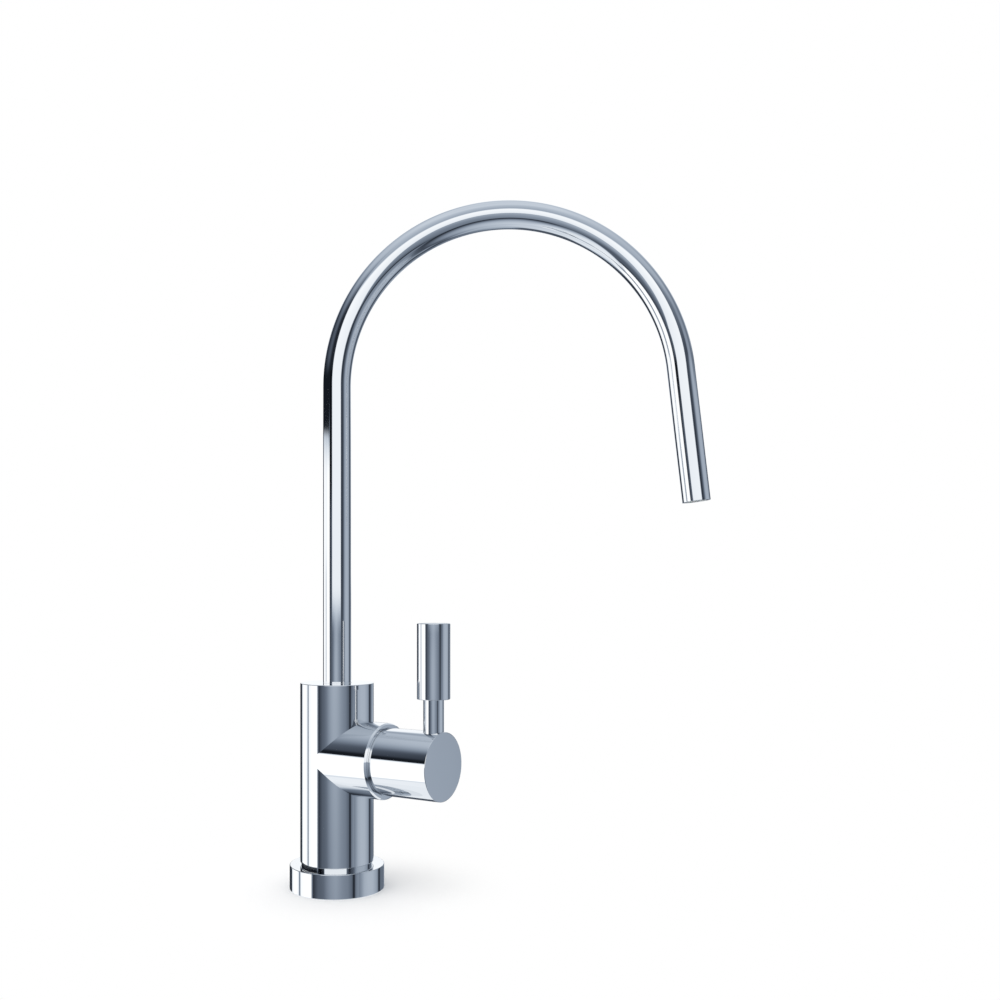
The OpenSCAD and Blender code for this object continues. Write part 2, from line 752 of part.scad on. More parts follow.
// Brass sleeve brazed in the lower end of the tube, with two seal grooves and the lock groove
module spout_sleeve() {
    color([0.80, 0.66, 0.36]) rotate_extrude() polygon([
        [sleeve_bore_r, sleeve_end], [tube_r - edge, sleeve_end], [tube_r, sleeve_end + edge],
        [tube_r, lower_groove], [ring_groove_r, lower_groove],
        [ring_groove_r, lower_groove + ring_groove_w], [tube_r, lower_groove + ring_groove_w],
        [tube_r, lock_groove], [ring_groove_r, lock_groove],
        [ring_groove_r, lock_groove + lock_groove_w], [tube_r, lock_groove + lock_groove_w],
        [tube_r, upper_groove], [ring_groove_r, upper_groove],
        [ring_groove_r, upper_groove + ring_groove_w], [tube_r, upper_groove + ring_groove_w],
        [tube_r, tube_end], [tube_bore_r - seat_fit, tube_end],
        [tube_bore_r - seat_fit, tube_end + sleeve_spigot_l],
        [sleeve_bore_r, tube_end + sleeve_spigot_l]
    ]);
}

// Two seals on the spout sleeve
module spout_o_rings() {
    color([0.10, 0.10, 0.10])
        for (low = [lower_groove, upper_groove]) translate([0, 0, low + ring_groove_w / 2])
            o_ring(ring_groove_r, socket_r);
}

// Split plastic ring that the tube turns in
module spout_slide_ring() {
    color([0.92, 0.92, 0.90]) difference() {
        translate([0, 0, guide_low + seat_fit])
            ring(tube_r + run_fit, socket_r + guide_groove - seat_fit, guide_ring_h - 2 * seat_fit);
        translate([0, -0.5, guide_low - cut])
            cube([socket_r + guide_groove + cut, 1, guide_ring_h + 2 * cut]);
    }
}

// Grub screw at the back whose dog point runs in the sleeve's groove
module spout_lock_screw() {
    socket_flats = lock_screw_d / 2;
    color([0.45, 0.46, 0.48]) translate([0, 0, lock_h]) rotate([-90, 0, 0]) difference() {
        union() {
            translate([0, 0, lock_tip_r]) cylinder(d = lock_tip_d, h = lock_tip_l + 0.5, $fn = 48);
            translate([0, 0, lock_tip_r + lock_tip_l])
                turned(lock_screw_d / 2, lock_screw_l, edge, edge, $fn = 48);
        }
        translate([0, 0, lock_tip_r + lock_tip_l + lock_screw_l - socket_flats])
            hexagon(socket_flats, socket_flats + cut);
    }
}

// Round insert of straight holes just inside the outlet
module flow_straightener() {
    hole_r = tube_bore_r * 0.15;
    pitch = hole_r * 2.6;
    color([0.93, 0.93, 0.93]) at_outlet() translate([0, 0, outlet_recess]) difference() {
        cylinder(r = tube_bore_r - seat_fit, h = straightener_t);
        for (row = [-2:2], col = [-2:2])
            if (abs(row + col) <= 2)
                translate([(col + row / 2) * pitch, row * pitch * sin(60), -cut])
                    cylinder(r = hole_r, h = straightener_t + 2 * cut, $fn = 24);
    }
}

valve_body();
base_flange();
base_gasket();
threaded_shank();
shank_o_ring();
inlet_connector();
inlet_face_seal();
inlet_o_ring();
inlet_collet();
clamp_rubber_washer();
clamp_steel_washer();
mounting_nut();
valve_cartridge();
cartridge_o_ring();
seat_seal();
ceramic_disc_fixed();
ceramic_disc_turning();
valve_spindle();
spindle_o_rings();
spindle_slip_ring();
spindle_circlip();
handle_hub();
handle_spline_bush();
lever_rod();
lever_grip();
spout_tube();
spout_sleeve();
spout_o_rings();
spout_slide_ring();
spout_lock_screw();
flow_straightener();
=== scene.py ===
import json
import math

import bmesh
import bpy
from mathutils import Matrix, Vector


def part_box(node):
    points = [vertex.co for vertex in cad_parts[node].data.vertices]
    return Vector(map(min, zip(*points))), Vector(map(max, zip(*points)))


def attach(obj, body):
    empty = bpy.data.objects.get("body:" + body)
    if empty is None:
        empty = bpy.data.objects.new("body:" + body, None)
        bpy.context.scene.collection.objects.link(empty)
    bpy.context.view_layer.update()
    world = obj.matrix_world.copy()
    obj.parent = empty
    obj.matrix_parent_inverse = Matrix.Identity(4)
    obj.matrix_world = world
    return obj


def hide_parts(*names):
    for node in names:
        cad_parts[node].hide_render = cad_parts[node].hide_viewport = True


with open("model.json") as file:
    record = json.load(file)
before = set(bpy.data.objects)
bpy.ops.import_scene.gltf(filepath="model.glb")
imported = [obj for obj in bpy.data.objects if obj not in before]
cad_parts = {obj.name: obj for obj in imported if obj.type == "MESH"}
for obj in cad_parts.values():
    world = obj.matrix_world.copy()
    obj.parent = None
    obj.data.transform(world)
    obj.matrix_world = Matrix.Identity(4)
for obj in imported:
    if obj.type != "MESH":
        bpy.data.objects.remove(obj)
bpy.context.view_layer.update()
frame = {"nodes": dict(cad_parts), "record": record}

bl_info = {
    "name": "Drinking Water Faucet",
    "version": (1, 0, 0),
    "blender": (4, 5, 0),
    "location": "View3D > Sidebar > Faucet",
    "description": "Dresses the packed faucet with turned chrome pieces and a photo studio",
    "category": "Add Mesh",
}

MM = 0.001

FLANGE_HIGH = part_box("base_flange")[1]
SHANK_LOW, SHANK_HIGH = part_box("threaded_shank")
NUT_LOW, NUT_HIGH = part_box("mounting_nut")
RUBBER_LOW, RUBBER_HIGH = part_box("clamp_rubber_washer")
STEEL_LOW, STEEL_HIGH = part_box("clamp_steel_washer")
CONNECTOR_LOW, CONNECTOR_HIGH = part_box("inlet_connector")
COLLET_LOW, COLLET_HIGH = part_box("inlet_collet")


# Sizes and places of the pieces, in metres, mostly as in the part's source

# Clearance of what turns or slides, gap of what is screwed or pressed together, edge break
RUN_FIT = 0.05 * MM
SEAT_FIT = 0.03 * MM
EDGE = 0.2 * MM
# How far a cutter runs past the face that it opens
PAST = 1 * MM

# Body and flange
BODY_TOP = 87.7 * MM
NECK_TOP = 11.5 * MM
NECK_R = 15.2 * MM
SPIGOT_R = 12 * MM
SPIGOT_H = 3 * MM
SOCKET_R = 6.05 * MM
SOCKET_FLOOR = 68 * MM
SOCKET_MOUTH = BODY_TOP + 0.02 * MM
CHAMBER_R = 9 * MM
CHAMBER_WALL_TOP = 36 * MM
CHAMBER_TOP = 42 * MM
LOCK_H = 77.45 * MM
LOCK_SCREW_R = 2 * MM
LOCK_HOLE_START = 8 * MM
LOCK_HOLE_END = 17 * MM
GASKET_IN_R = 14.6 * MM
GASKET_R = 18.2 * MM
GASKET_T = 2 * MM

# Valve branch, along its axis
VALVE_H = 56 * MM
VALVE_TURN = math.radians(33)
BARREL_L = 25.9 * MM
BARREL_END = 26.8 * MM
BARREL_ROUND = 0.08 * MM
TAPER_INSET = 0.6 * MM
GLAND_L = 16.5 * MM
GLAND_R = 11 * MM
NEST_FLOOR = 26.2 * MM
NEST_R = 14.1 * MM

# Handle: the hub along the valve's axis, rod and grip along the lever
HUB_BACK = 26.4 * MM
HUB_FACE = 54 * MM
HUB_RECESS_R = 9.46 * MM
HUB_RECESS_END = 30.2 * MM
HUB_BORE_END = 44.8 * MM
BUSH_R = 6.5 * MM
BUSH_END = 42.2 * MM
SPINDLE_TAIL_R = 3.4 * MM
LEVER_L = 49.2 * MM
LEVER_TIP = 2 * MM
LEVER_TIP_R = 1.5 * MM
LEVER_TIP_END = 3.6 * MM
LEVER_THREAD_R = 3 * MM
LEVER_THREAD_START = 4.6 * MM
ROD_HOLE_START = 3 * MM
ROD_HOLE_R = 4.23 * MM
ROD_HOLE_END = 16 * MM
ROD_SEAT = 12.5 * MM
ROD_ROUND = 0.15 * MM
GRIP_START = 27.1 * MM
GRIP_L = 30.6 * MM
GRIP_THREAD_L = 15 * MM

# Spout: the tube is drawn a little thinner in the bend, in steps before and after it
TUBE_END = 83.25 * MM
ARCH_START_H = 214.5 * MM
ARCH_R = 74 * MM
TAIL_TILT = math.radians(6.7)
TAIL_L = 58 * MM
RISER_STEP = 8 * MM
RISER_STEPS = 13
DRAW_STEP = 4 * MM
DRAW_STEPS = 6
DRAW_SHARE = 0.0013
BEND_STEPS = 240
TAIL_STEPS = 4
RIM_ANGLE = math.radians(60)
RIM_ROUND = 0.12 * MM

# Shank, with two slots for a tool in its head
SHANK_R = 5.55 * MM
SHANK_BORE_R = 3.2 * MM
SHANK_HEAD_R = 10 * MM
SHANK_GROOVE_R = 8.58 * MM
SHANK_GROOVE_LOW = 9.8 * MM
SHANK_GROOVE_HIGH = 12 * MM
SHANK_LEAD_R = 0.35 * MM
SHANK_LEAD_L = 0.5 * MM
SHANK_SEAT_TOP = 13.03 * MM
SLOT_IN = SHANK_R + 2 * MM
SLOT_OUT = SHANK_HEAD_R + 2 * MM
SLOT_W = 2 * MM
SLOT_L = 2 * MM

# Thread: its ends, how deep its root is sunk in the core, and its section as shares of the pitch
THREAD_TOP = -0.5 * MM
THREAD_GAP_LOW = 1 * MM
THREAD_GAP_HIGH = 0.6 * MM
CREST_R = SHANK_R - 0.01 * MM
ROOT_SINK = 0.15 * MM
ROOT_SHARE = 0.42
CREST_SHARE = 0.06
RUN_OUT_SINK = 0.02 * MM
RUN_OUT_TURNS = 0.35
THREAD_STEPS = 36

# Nut and washers
NUT_FLATS = 19 * MM
NUT_BORE_R = 5.6 * MM
NUT_LEAD = 0.5 * MM
NUT_CHAMFER = math.radians(30)
WASHER_HOLE_R = 5.85 * MM
STEEL_ROUND = 0.3 * MM
RUBBER_ROUND = 0.5 * MM

# Water inlet, worked out downwards from the end of the tube's bore
TUBE_BORE_R = 3.225 * MM
TUBE_BORE_TOP = -51.5 * MM
STOP_WEB_T = 2 * MM
STOP_HOLE_R = 2.4 * MM
SEAL_TOP = TUBE_BORE_TOP - 8.5 * MM
SEAL_LOW = SEAL_TOP - 2.4 * MM
SEAL_R = TUBE_BORE_R + 1.75 * MM
CAM_TOP = SEAL_LOW - 0.8 * MM
CAM_LAND_R = TUBE_BORE_R + 1 * MM
CAM_LOW = CAM_TOP - 4 * MM
CAM_LEAD = 1 * MM
CONNECTOR_HEX_L = 10 * MM
HEX_CHAMFER_R = 1.4 * MM
HEX_CHAMFER_L = 0.8 * MM
SLEEVE_INSET = 0.6 * MM
SLEEVE_LEAD = 1 * MM
SLEEVE_ROUND = 0.4 * MM
COLLET_R = TUBE_BORE_R + 0.75 * MM
COLLET_TIP_R = COLLET_R + 0.5 * MM
CAM_R = COLLET_TIP_R + 0.3 * MM
COLLET_FLANGE_T = 1.5 * MM
COLLET_ROUND = 0.3 * MM
# The collet's barb and slots, measured down from its top
COLLET_TIP_LOW = 2 * MM
COLLET_TIP_START = 1.4 * MM
COLLET_TIP_LEAD = 0.3 * MM
COLLET_SLOT_L = 5 * MM
COLLET_SLOT_W = 1 * MM

ON_AXIS = Matrix.Identity(4)
ON_VALVE = (
    Matrix.Translation((0, 0, VALVE_H))
    @ Matrix.Rotation(-VALVE_TURN, 4, "Z")
    @ Matrix.Rotation(math.radians(90), 4, "Y")
    @ Matrix.Rotation(math.radians(180), 4, "Z")
)
ON_LEVER = (
    ON_VALVE
    @ Matrix.Translation((0, 0, LEVER_L))
    @ Matrix.Rotation(math.radians(90), 4, "Y")
)
AT_OUTLET = (
    Matrix.Translation((ARCH_R, 0, ARCH_START_H))
    @ Matrix.Rotation(-TAIL_TILT, 4, "Y")
    @ Matrix.Translation((ARCH_R, 0, -TAIL_L))
)
ON_LOCK = Matrix.Translation((0, 0, LOCK_H)) @ Matrix.Rotation(math.radians(-90), 4, "X")


# Shader maths


class Value:
    """A number in a material. Arithmetic on it adds Math nodes."""

    def __init__(self, finish, socket):
        self.finish = finish
        self.socket = socket

    def _math(self, operation, first, second):
        node = self.finish.node("ShaderNodeMath", {"operation": operation}, {0: first, 1: second})
        return Value(self.finish, node.outputs[0])

    def __add__(self, other):
        return self._math("ADD", self, other)

    def __radd__(self, other):
        return self._math("ADD", other, self)

    def __mul__(self, other):
        return self._math("MULTIPLY", self, other)

    def __rmul__(self, other):
        return self._math("MULTIPLY", other, self)

    def larger(self, other):
        return self._math("MAXIMUM", self, other)


class Finish:
    """The node tree of a material or a world, emptied."""

    def __init__(self, owner):
        owner.use_nodes = True
        self.tree = owner.node_tree
        self.tree.nodes.clear()

    def node(self, kind, settings=None, inputs=None):
        """Adds any node: its settings first, then the values or links of its sockets."""
        made = self.tree.nodes.new(kind)
        for name, value in (settings or {}).items():
            setattr(made, name, value)
        for name, value in (inputs or {}).items():
            socket = made.inputs[name] if isinstance(name, int) else self._find(made.inputs, name)
            if isinstance(value, Value):
                self.tree.links.new(value.socket, socket)
            elif isinstance(value, bpy.types.NodeSocket):
                self.tree.links.new(value, socket)
            else:
                socket.default_value = value
        return made

    def _find(self, sockets, name):
        for socket in sockets:
            if socket.identifier == name:
                return socket
        for socket in sockets:
            if socket.name == name and socket.enabled:
                return socket
        raise KeyError(f"no socket named {name}")

    def value(self, kind, output, settings=None, inputs=None):
        """A number that some node gives out."""
        return Value(self, self.node(kind, settings, inputs).outputs[output])

    def mix(self, factor, first, second):
        """A colour between two others."""
        inputs = {"Factor_Float": factor, "A_Color": first, "B_Color": second}
        made = self.node("ShaderNodeMix", {"data_type": "RGBA"}, inputs)
        return self._find(made.outputs, "Result_Color")

    def place(self, scale):
        """Object coordinates, stretched."""
        coordinates = self.node("ShaderNodeTexCoord").outputs["Object"]
        mapping = self.node("ShaderNodeMapping", None, {"Vector": coordinates, "Scale": scale})
        return mapping.outputs["Vector"]

    def noise(self, scale, detail=2.0, stretch=(1, 1, 1)):
        """Soft noise from 0 to 1 at so many cells a metre."""
        inputs = {"Vector": self.place(stretch), "Scale": scale, "Detail": detail}
        return self.value("ShaderNodeTexNoise", 0, None, inputs)

    def bump(self, height, distance, strength):
        """A normal from a height."""
        inputs = {"Height": height, "Distance": distance, "Strength": strength}
        return self.node("ShaderNodeBump", None, inputs).outputs["Normal"]

    def surface(self, inputs):
        """The material's shader, with its output."""
        self.output(self.node("ShaderNodeBsdfPrincipled", None, inputs))

    def output(self, shader, owner="Material"):
        """The end of the node tree."""
        self.node("ShaderNodeOutput" + owner, None, {"Surface": shader.outputs[0]})

    def ray(self, kind):
        """1 for rays of one kind and 0 for the others."""
        return self.value("ShaderNodeLightPath", f"Is {kind} Ray")


def shade(colour, factor=1.0):
    """A colour, made lighter or darker, with its alpha."""
    return (colour[0] * factor, colour[1] * factor, colour[2] * factor, 1.0)


# Finishes


def polished_chrome(name, colour, roughness):
    """Mirror chrome: a trace of haze and very fine polishing marks in the roughness."""
    finish = Finish(bpy.data.materials.new(name))
    haze = finish.noise(35.0)
    marks = finish.noise(900.0, detail=3.0, stretch=(1, 1, 0.25))
    finish.surface(
        {
            "Base Color": finish.mix(haze, shade(colour, 0.985), shade(colour, 1.01)),
            "Metallic": 1.0,
            "Roughness": roughness * (0.7 + 0.4 * haze + 0.3 * marks),
        }
    )


def machined_metal(name, colour, roughness):
    """Lathe or mill finished metal with fine tool marks."""
    finish = Finish(bpy.data.materials.new(name))
    patches = finish.noise(120.0, detail=3.0)
    rings = finish.noise(60.0, stretch=(1, 1, 40))
    finish.surface(
        {
            "Base Color": finish.mix(patches, shade(colour, 0.86), shade(colour, 1.05)),
            "Metallic": 1.0,
            "Roughness": roughness * (0.75 + 0.3 * patches + 0.2 * rings),
            "Normal": finish.bump(rings, distance=0.02 * MM, strength=0.35),
        }
    )


def moulded_rubber(name, colour, roughness):
    """Matt black rubber with a dusty bloom."""
    finish = Finish(bpy.data.materials.new(name))
    bloom = finish.noise(240.0, detail=4.0)
    grain = finish.noise(5200.0)
    finish.surface(
        {
            "Base Color": finish.mix(bloom, shade(colour, 0.8), shade(colour, 1.5)),
            "Roughness": roughness + 0.2 * bloom,
            "Specular IOR Level": 0.4,
            "Normal": finish.bump(grain, distance=0.03 * MM, strength=0.4),
        }
    )


def moulded_plastic(name, colour, roughness):
    """Satin acetal with faint flow marks."""
    finish = Finish(bpy.data.materials.new(name))
    flow = finish.noise(90.0, detail=3.0, stretch=(1, 1, 3))
    grain = finish.noise(3200.0)
    finish.surface(
        {
            "Base Color": finish.mix(flow, shade(colour, 0.95), shade(colour, 1.02)),
            "Roughness": roughness * (0.85 + 0.3 * flow),
            "Subsurface Weight": 0.05,
            "Subsurface Scale": 0.002,
            "Normal": finish.bump(grain, distance=0.02 * MM, strength=0.3),
        }
    )


def lapped_ceramic(name, colour, roughness):
    """Fine white ceramic with a glossy lapped face."""
    finish = Finish(bpy.data.materials.new(name))
    speckle = finish.noise(1800.0, detail=3.0)
    finish.surface(
        {
            "Base Color": finish.mix(speckle, shade(colour, 0.96), shade(colour, 1.0)),
            "Roughness": roughness + 0.1 * speckle,
            "Coat Weight": 0.2,
        }
    )


# The maker of each slot's material, its colour among the settings and its roughness
FINISHES = {
    "polished_chrome": (polished_chrome, "chrome", 0.035),
    "spout_chrome": (polished_chrome, "chrome", 0.04),
    "brass": (machined_metal, "brass", 0.3),
    "zinc_steel": (machined_metal, "zinc_steel", 0.36),
    "dark_steel": (machined_metal, "dark_steel", 0.42),
    "black_rubber": (moulded_rubber, "rubber", 0.62),
    "ceramic_white": (lapped_ceramic, "ceramic", 0.16),
    "white_plastic": (moulded_plastic, "white_plastic", 0.4),
    "connector_plastic": (moulded_plastic, "connector_plastic", 0.45),
    "grey_plastic": (moulded_plastic, "grey_plastic", 0.45),
}


def finish_of(slot):
    """The material of a slot, made the first time that it is asked for."""
    name = "faucet_" + slot
    if name not in bpy.data.materials:
        maker, colour, roughness = FINISHES[slot]
        maker(name, getattr(bpy.context.scene.faucet_colours, colour), roughness)
    return bpy.data.materials[name]


# Mesh work

# Distances in metres: doubles of a turned shape, its slivers, doubles of a boolean, slack of a wall
TURNED_MERGE = 0.000001
TURNED_SLIVER = 0.0000005
BOOLEAN_MERGE = 0.0000005
WALL_SLACK = 0.00002
# Longest facet along the straight side of a polished piece, and the share that makes it upright
RING_GAP = 4 * MM
UPRIGHT_SHARE = 0.9
# Facets round the pieces that need fewer than the polished body
GRIP_STEPS = 160
ROD_STEPS = 128
PLAIN_STEPS = 96
NUT_STEPS = 64
SCREW_STEPS = 48
# Angles in degrees above which an edge is hard
CREASE = 38.0
THREAD_CREASE = 28.0
NUT_CREASE = 25.0
HEXAGON_TURN = math.radians(30)


def swept(bm, geom, steps, angle, centre=(0, 0, 0), axis=(0, 0, 1), rise=0.0, merge=False):
    """Turns a part of a shape about an axis, with a rise at each step, and gives back its end."""
    return bmesh.ops.spin(
        bm, geom=geom, cent=centre, axis=axis, dvec=(0, 0, rise), angle=angle, steps=steps,
        use_merge=merge, use_duplicate=False,
    )["geom_last"]


def turned(profile, place=ON_AXIS, steps=PLAIN_STEPS, rounding=0.0, rounded=(), closed=False, rings=0.0):
    """A shape turned on a lathe from a profile of (radius, height) corners.

    The corners whose numbers are in rounded get small radii, and long straight sides get rings.
    """
    bm = bmesh.new()
    corners = [bm.verts.new((radius, 0, height)) for radius, height in profile]
    pairs = list(zip(corners, corners[1:]))
    if closed:
        pairs.append((corners[-1], corners[0]))
    for first, second in pairs:
        bm.edges.new((first, second))
    if rounding:
        bevelled = [corners[i] for i in rounded]
        bmesh.ops.bevel(
            bm, geom=bevelled, offset=rounding, offset_type="OFFSET", segments=4, profile=0.5,
            affect="VERTICES", material=-1,
        )
    if rings:
        for edge in list(bm.edges):
            length = edge.calc_length()
            cuts = int(length / rings)
            if cuts and abs(edge.verts[0].co.z - edge.verts[1].co.z) > UPRIGHT_SHARE * length:
                bmesh.ops.subdivide_edges(bm, edges=[edge], cuts=cuts)
    swept(bm, bm.verts[:] + bm.edges[:], steps, math.tau, merge=True)
    bmesh.ops.remove_doubles(bm, verts=bm.verts, dist=TURNED_MERGE)
    bmesh.ops.dissolve_degenerate(bm, edges=bm.edges, dist=TURNED_SLIVER)
    bmesh.ops.recalc_face_normals(bm, faces=bm.faces)
    bmesh.ops.transform(bm, matrix=place, verts=bm.verts)
    return bm


def prism(flats, low, high):
    """An upright hexagonal bar with corners towards +X and -X."""
    bm = bmesh.new()
    corner = flats / 2 / math.cos(HEXAGON_TURN)
    turn = Matrix.Rotation(HEXAGON_TURN, 3, "Z")
    bmesh.ops.create_cone(
        bm, cap_ends=True, segments=6, radius1=corner, radius2=corner, depth=high - low
    )
    bmesh.ops.rotate(bm, cent=(0, 0, 0), matrix=turn, verts=bm.verts)
    bmesh.ops.translate(bm, vec=(0, 0, (low + high) / 2), verts=bm.verts)
    return bm


def block(low, high):
    """A plain box between two corners."""
    bm = bmesh.new()
    bmesh.ops.create_cube(bm, size=1.0)
    low, high = Vector(low), Vector(high)
    bmesh.ops.scale(bm, vec=high - low, verts=bm.verts)
    bmesh.ops.translate(bm, vec=(low + high) / 2, verts=bm.verts)
    return bm


def loose_object(name, bm):
    """A bare object for a mesh, linked so that its modifiers can be worked out."""
    mesh = bpy.data.meshes.new(name)
    bm.to_mesh(mesh)
    bm.free()
    made = bpy.data.objects.new(name, mesh)
    bpy.context.scene.collection.objects.link(made)
    return made


def settled(made):
    """The mesh of an object with its modifiers worked out; the object is removed."""
    evaluated = made.evaluated_get(bpy.context.evaluated_depsgraph_get())
    mesh = bpy.data.meshes.new_from_object(evaluated)
    bpy.data.objects.remove(made)
    return mesh


def combined(bm, other, operation):
    """Joins two closed shapes, or cuts the second out of the first."""
    base = loose_object("base", bm)
    tool = loose_object("tool", other)
    boolean = base.modifiers.new("combine", "BOOLEAN")
    boolean.operation = operation
    boolean.solver = "EXACT"
    boolean.object = tool
    mesh = settled(base)
    bpy.data.objects.remove(tool)
    result = bmesh.new()
    result.from_mesh(mesh)
    bpy.data.meshes.remove(mesh)
    bmesh.ops.remove_doubles(result, verts=result.verts, dist=BOOLEAN_MERGE)
    return result


def weighted_mesh(name, bm, sharp):
    """A smooth-shaded mesh with hard edges where it turns sharply, and flats that stay flat."""
    limit = math.radians(sharp)
    for face in bm.faces:
        face.smooth = True
    for edge in bm.edges:
        edge.smooth = not (edge.is_manifold and edge.calc_face_angle(0.0) > limit)
    made = loose_object(name, bm)
    weighted = made.modifiers.new("weigh", "WEIGHTED_NORMAL")
    weighted.keep_sharp = True
    weighted.weight = 100
    mesh = settled(made)
    mesh.name = name
    return mesh


def true_walls(mesh, walls):
    """Sets exact normals on round walls, given as (place, radius) of their axes."""
    normals = [Vector(corner.vector) for corner in mesh.corner_normals]
    for place, radius in walls:
        back = place.inverted()
        turn = place.to_3x3()
        points = [back @ vertex.co for vertex in mesh.vertices]
        for face in mesh.polygons:
            spots = [points[index] for index in face.vertices]
            if all(abs(math.hypot(spot.x, spot.y) - radius) < WALL_SLACK for spot in spots):
                for corner, spot in zip(face.loop_indices, spots):
                    normals[corner] = turn @ Vector((spot.x, spot.y, 0)).normalized()
    mesh.normals_split_custom_set(normals)


def seat(bm, name, body, slot, *nodes, sharp=CREASE, walls=()):
    """Makes a shape the piece that stands for some CAD nodes, with exact normals on its walls."""
    mesh = weighted_mesh(name, bm, sharp)
    if walls:
        true_walls(mesh, walls)
    piece = bpy.data.objects.new(name, mesh)
    bpy.context.scene.collection.objects.link(piece)
    mesh.materials.clear()
    mesh.materials.append(finish_of(slot))
    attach(piece, body)
    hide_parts(*nodes)


# Settings


def length_setting(name, description, length, **limits):
    return bpy.props.FloatProperty(
        name=name, description=description, default=length, subtype="DISTANCE", unit="LENGTH", **limits
    )


def colour_setting(name, what, colour):
    return bpy.props.FloatVectorProperty(
        name=name, description="Colour of the " + what, default=colour, min=0.0, max=1.0,
        subtype="COLOR",
    )


class FaucetSizes(bpy.types.PropertyGroup):
    turning_steps: bpy.props.IntProperty(
        name="Turning Steps", description="Facets round a turned piece", default=256, min=48, max=512
    )
    tube_steps: bpy.props.IntProperty(
        name="Tube Steps", description="Facets round the spout tube", default=96, min=24, max=160
    )
    edge_round: length_setting(
        "Edge Radius", "Radius of the polished edges", 0.3 * MM, min=0.0, max=0.6 * MM
    )
    body_d: length_setting("Body Diameter", "Diameter of the upright body", 31.4 * MM)
    barrel_d: length_setting("Barrel Diameter", "Diameter of the valve barrel", 31.8 * MM)
    hub_d: length_setting("Hub Diameter", "Diameter of the handle's hub", 28 * MM)
    rod_d: length_setting("Rod Diameter", "Diameter of the lever rod", 8.4 * MM)
    grip_d: length_setting("Grip Diameter", "Diameter of the grip", 13.5 * MM)
    tube_d: length_setting("Tube Diameter", "Diameter of the spout tube", 12 * MM)
    tube_wall: length_setting("Tube Wall", "Wall of the spout tube", 1 * MM)
    thread_pitch: length_setting("Thread Pitch", "Pitch of the shank's thread", 1.058 * MM)
    thread_depth: length_setting("Thread Depth", "Depth of the shank's thread", 0.6 * MM)


class FaucetColours(bpy.types.PropertyGroup):
    chrome: colour_setting("Chrome", "chrome plating", (0.87, 0.88, 0.89))
    brass: colour_setting("Brass", "plain brass parts", (0.74, 0.56, 0.27))
    zinc_steel: colour_setting("Zinc Steel", "plated washer", (0.66, 0.67, 0.69))
    dark_steel: colour_setting("Dark Steel", "screw and the clip", (0.22, 0.22, 0.23))
    rubber: colour_setting("Rubber", "seals", (0.018, 0.018, 0.019))
    ceramic: colour_setting("Ceramic", "valve discs", (0.86, 0.85, 0.79))
    white_plastic: colour_setting("White Acetal", "slide rings", (0.80, 0.80, 0.77))
    connector_plastic: colour_setting(
        "Connector Acetal", "inlet connector", (0.76, 0.76, 0.72)
    )
    grey_plastic: colour_setting("Grey Acetal", "inlet collet", (0.07, 0.08, 0.10))


class FaucetStudio(bpy.types.PropertyGroup):
    floor: colour_setting("Floor", "studio floor", (0.93, 0.93, 0.93))
    world_level: bpy.props.FloatProperty(
        name="World Level", description="Strength of the even light", default=1.0, min=0.0
    )
    lamp_level: bpy.props.FloatProperty(
        name="Lamp Level", description="Power of the soft lamp", default=6.0, min=0.0, unit="POWER"
    )
    dome_level: bpy.props.FloatProperty(
        name="Dome Level", description="Gain of the mirrored dome", default=1.14, min=0.0
    )
    dome_radius: length_setting("Dome Radius", "Radius of the mirrored dome", 2.5, min=0.5)


# Pieces


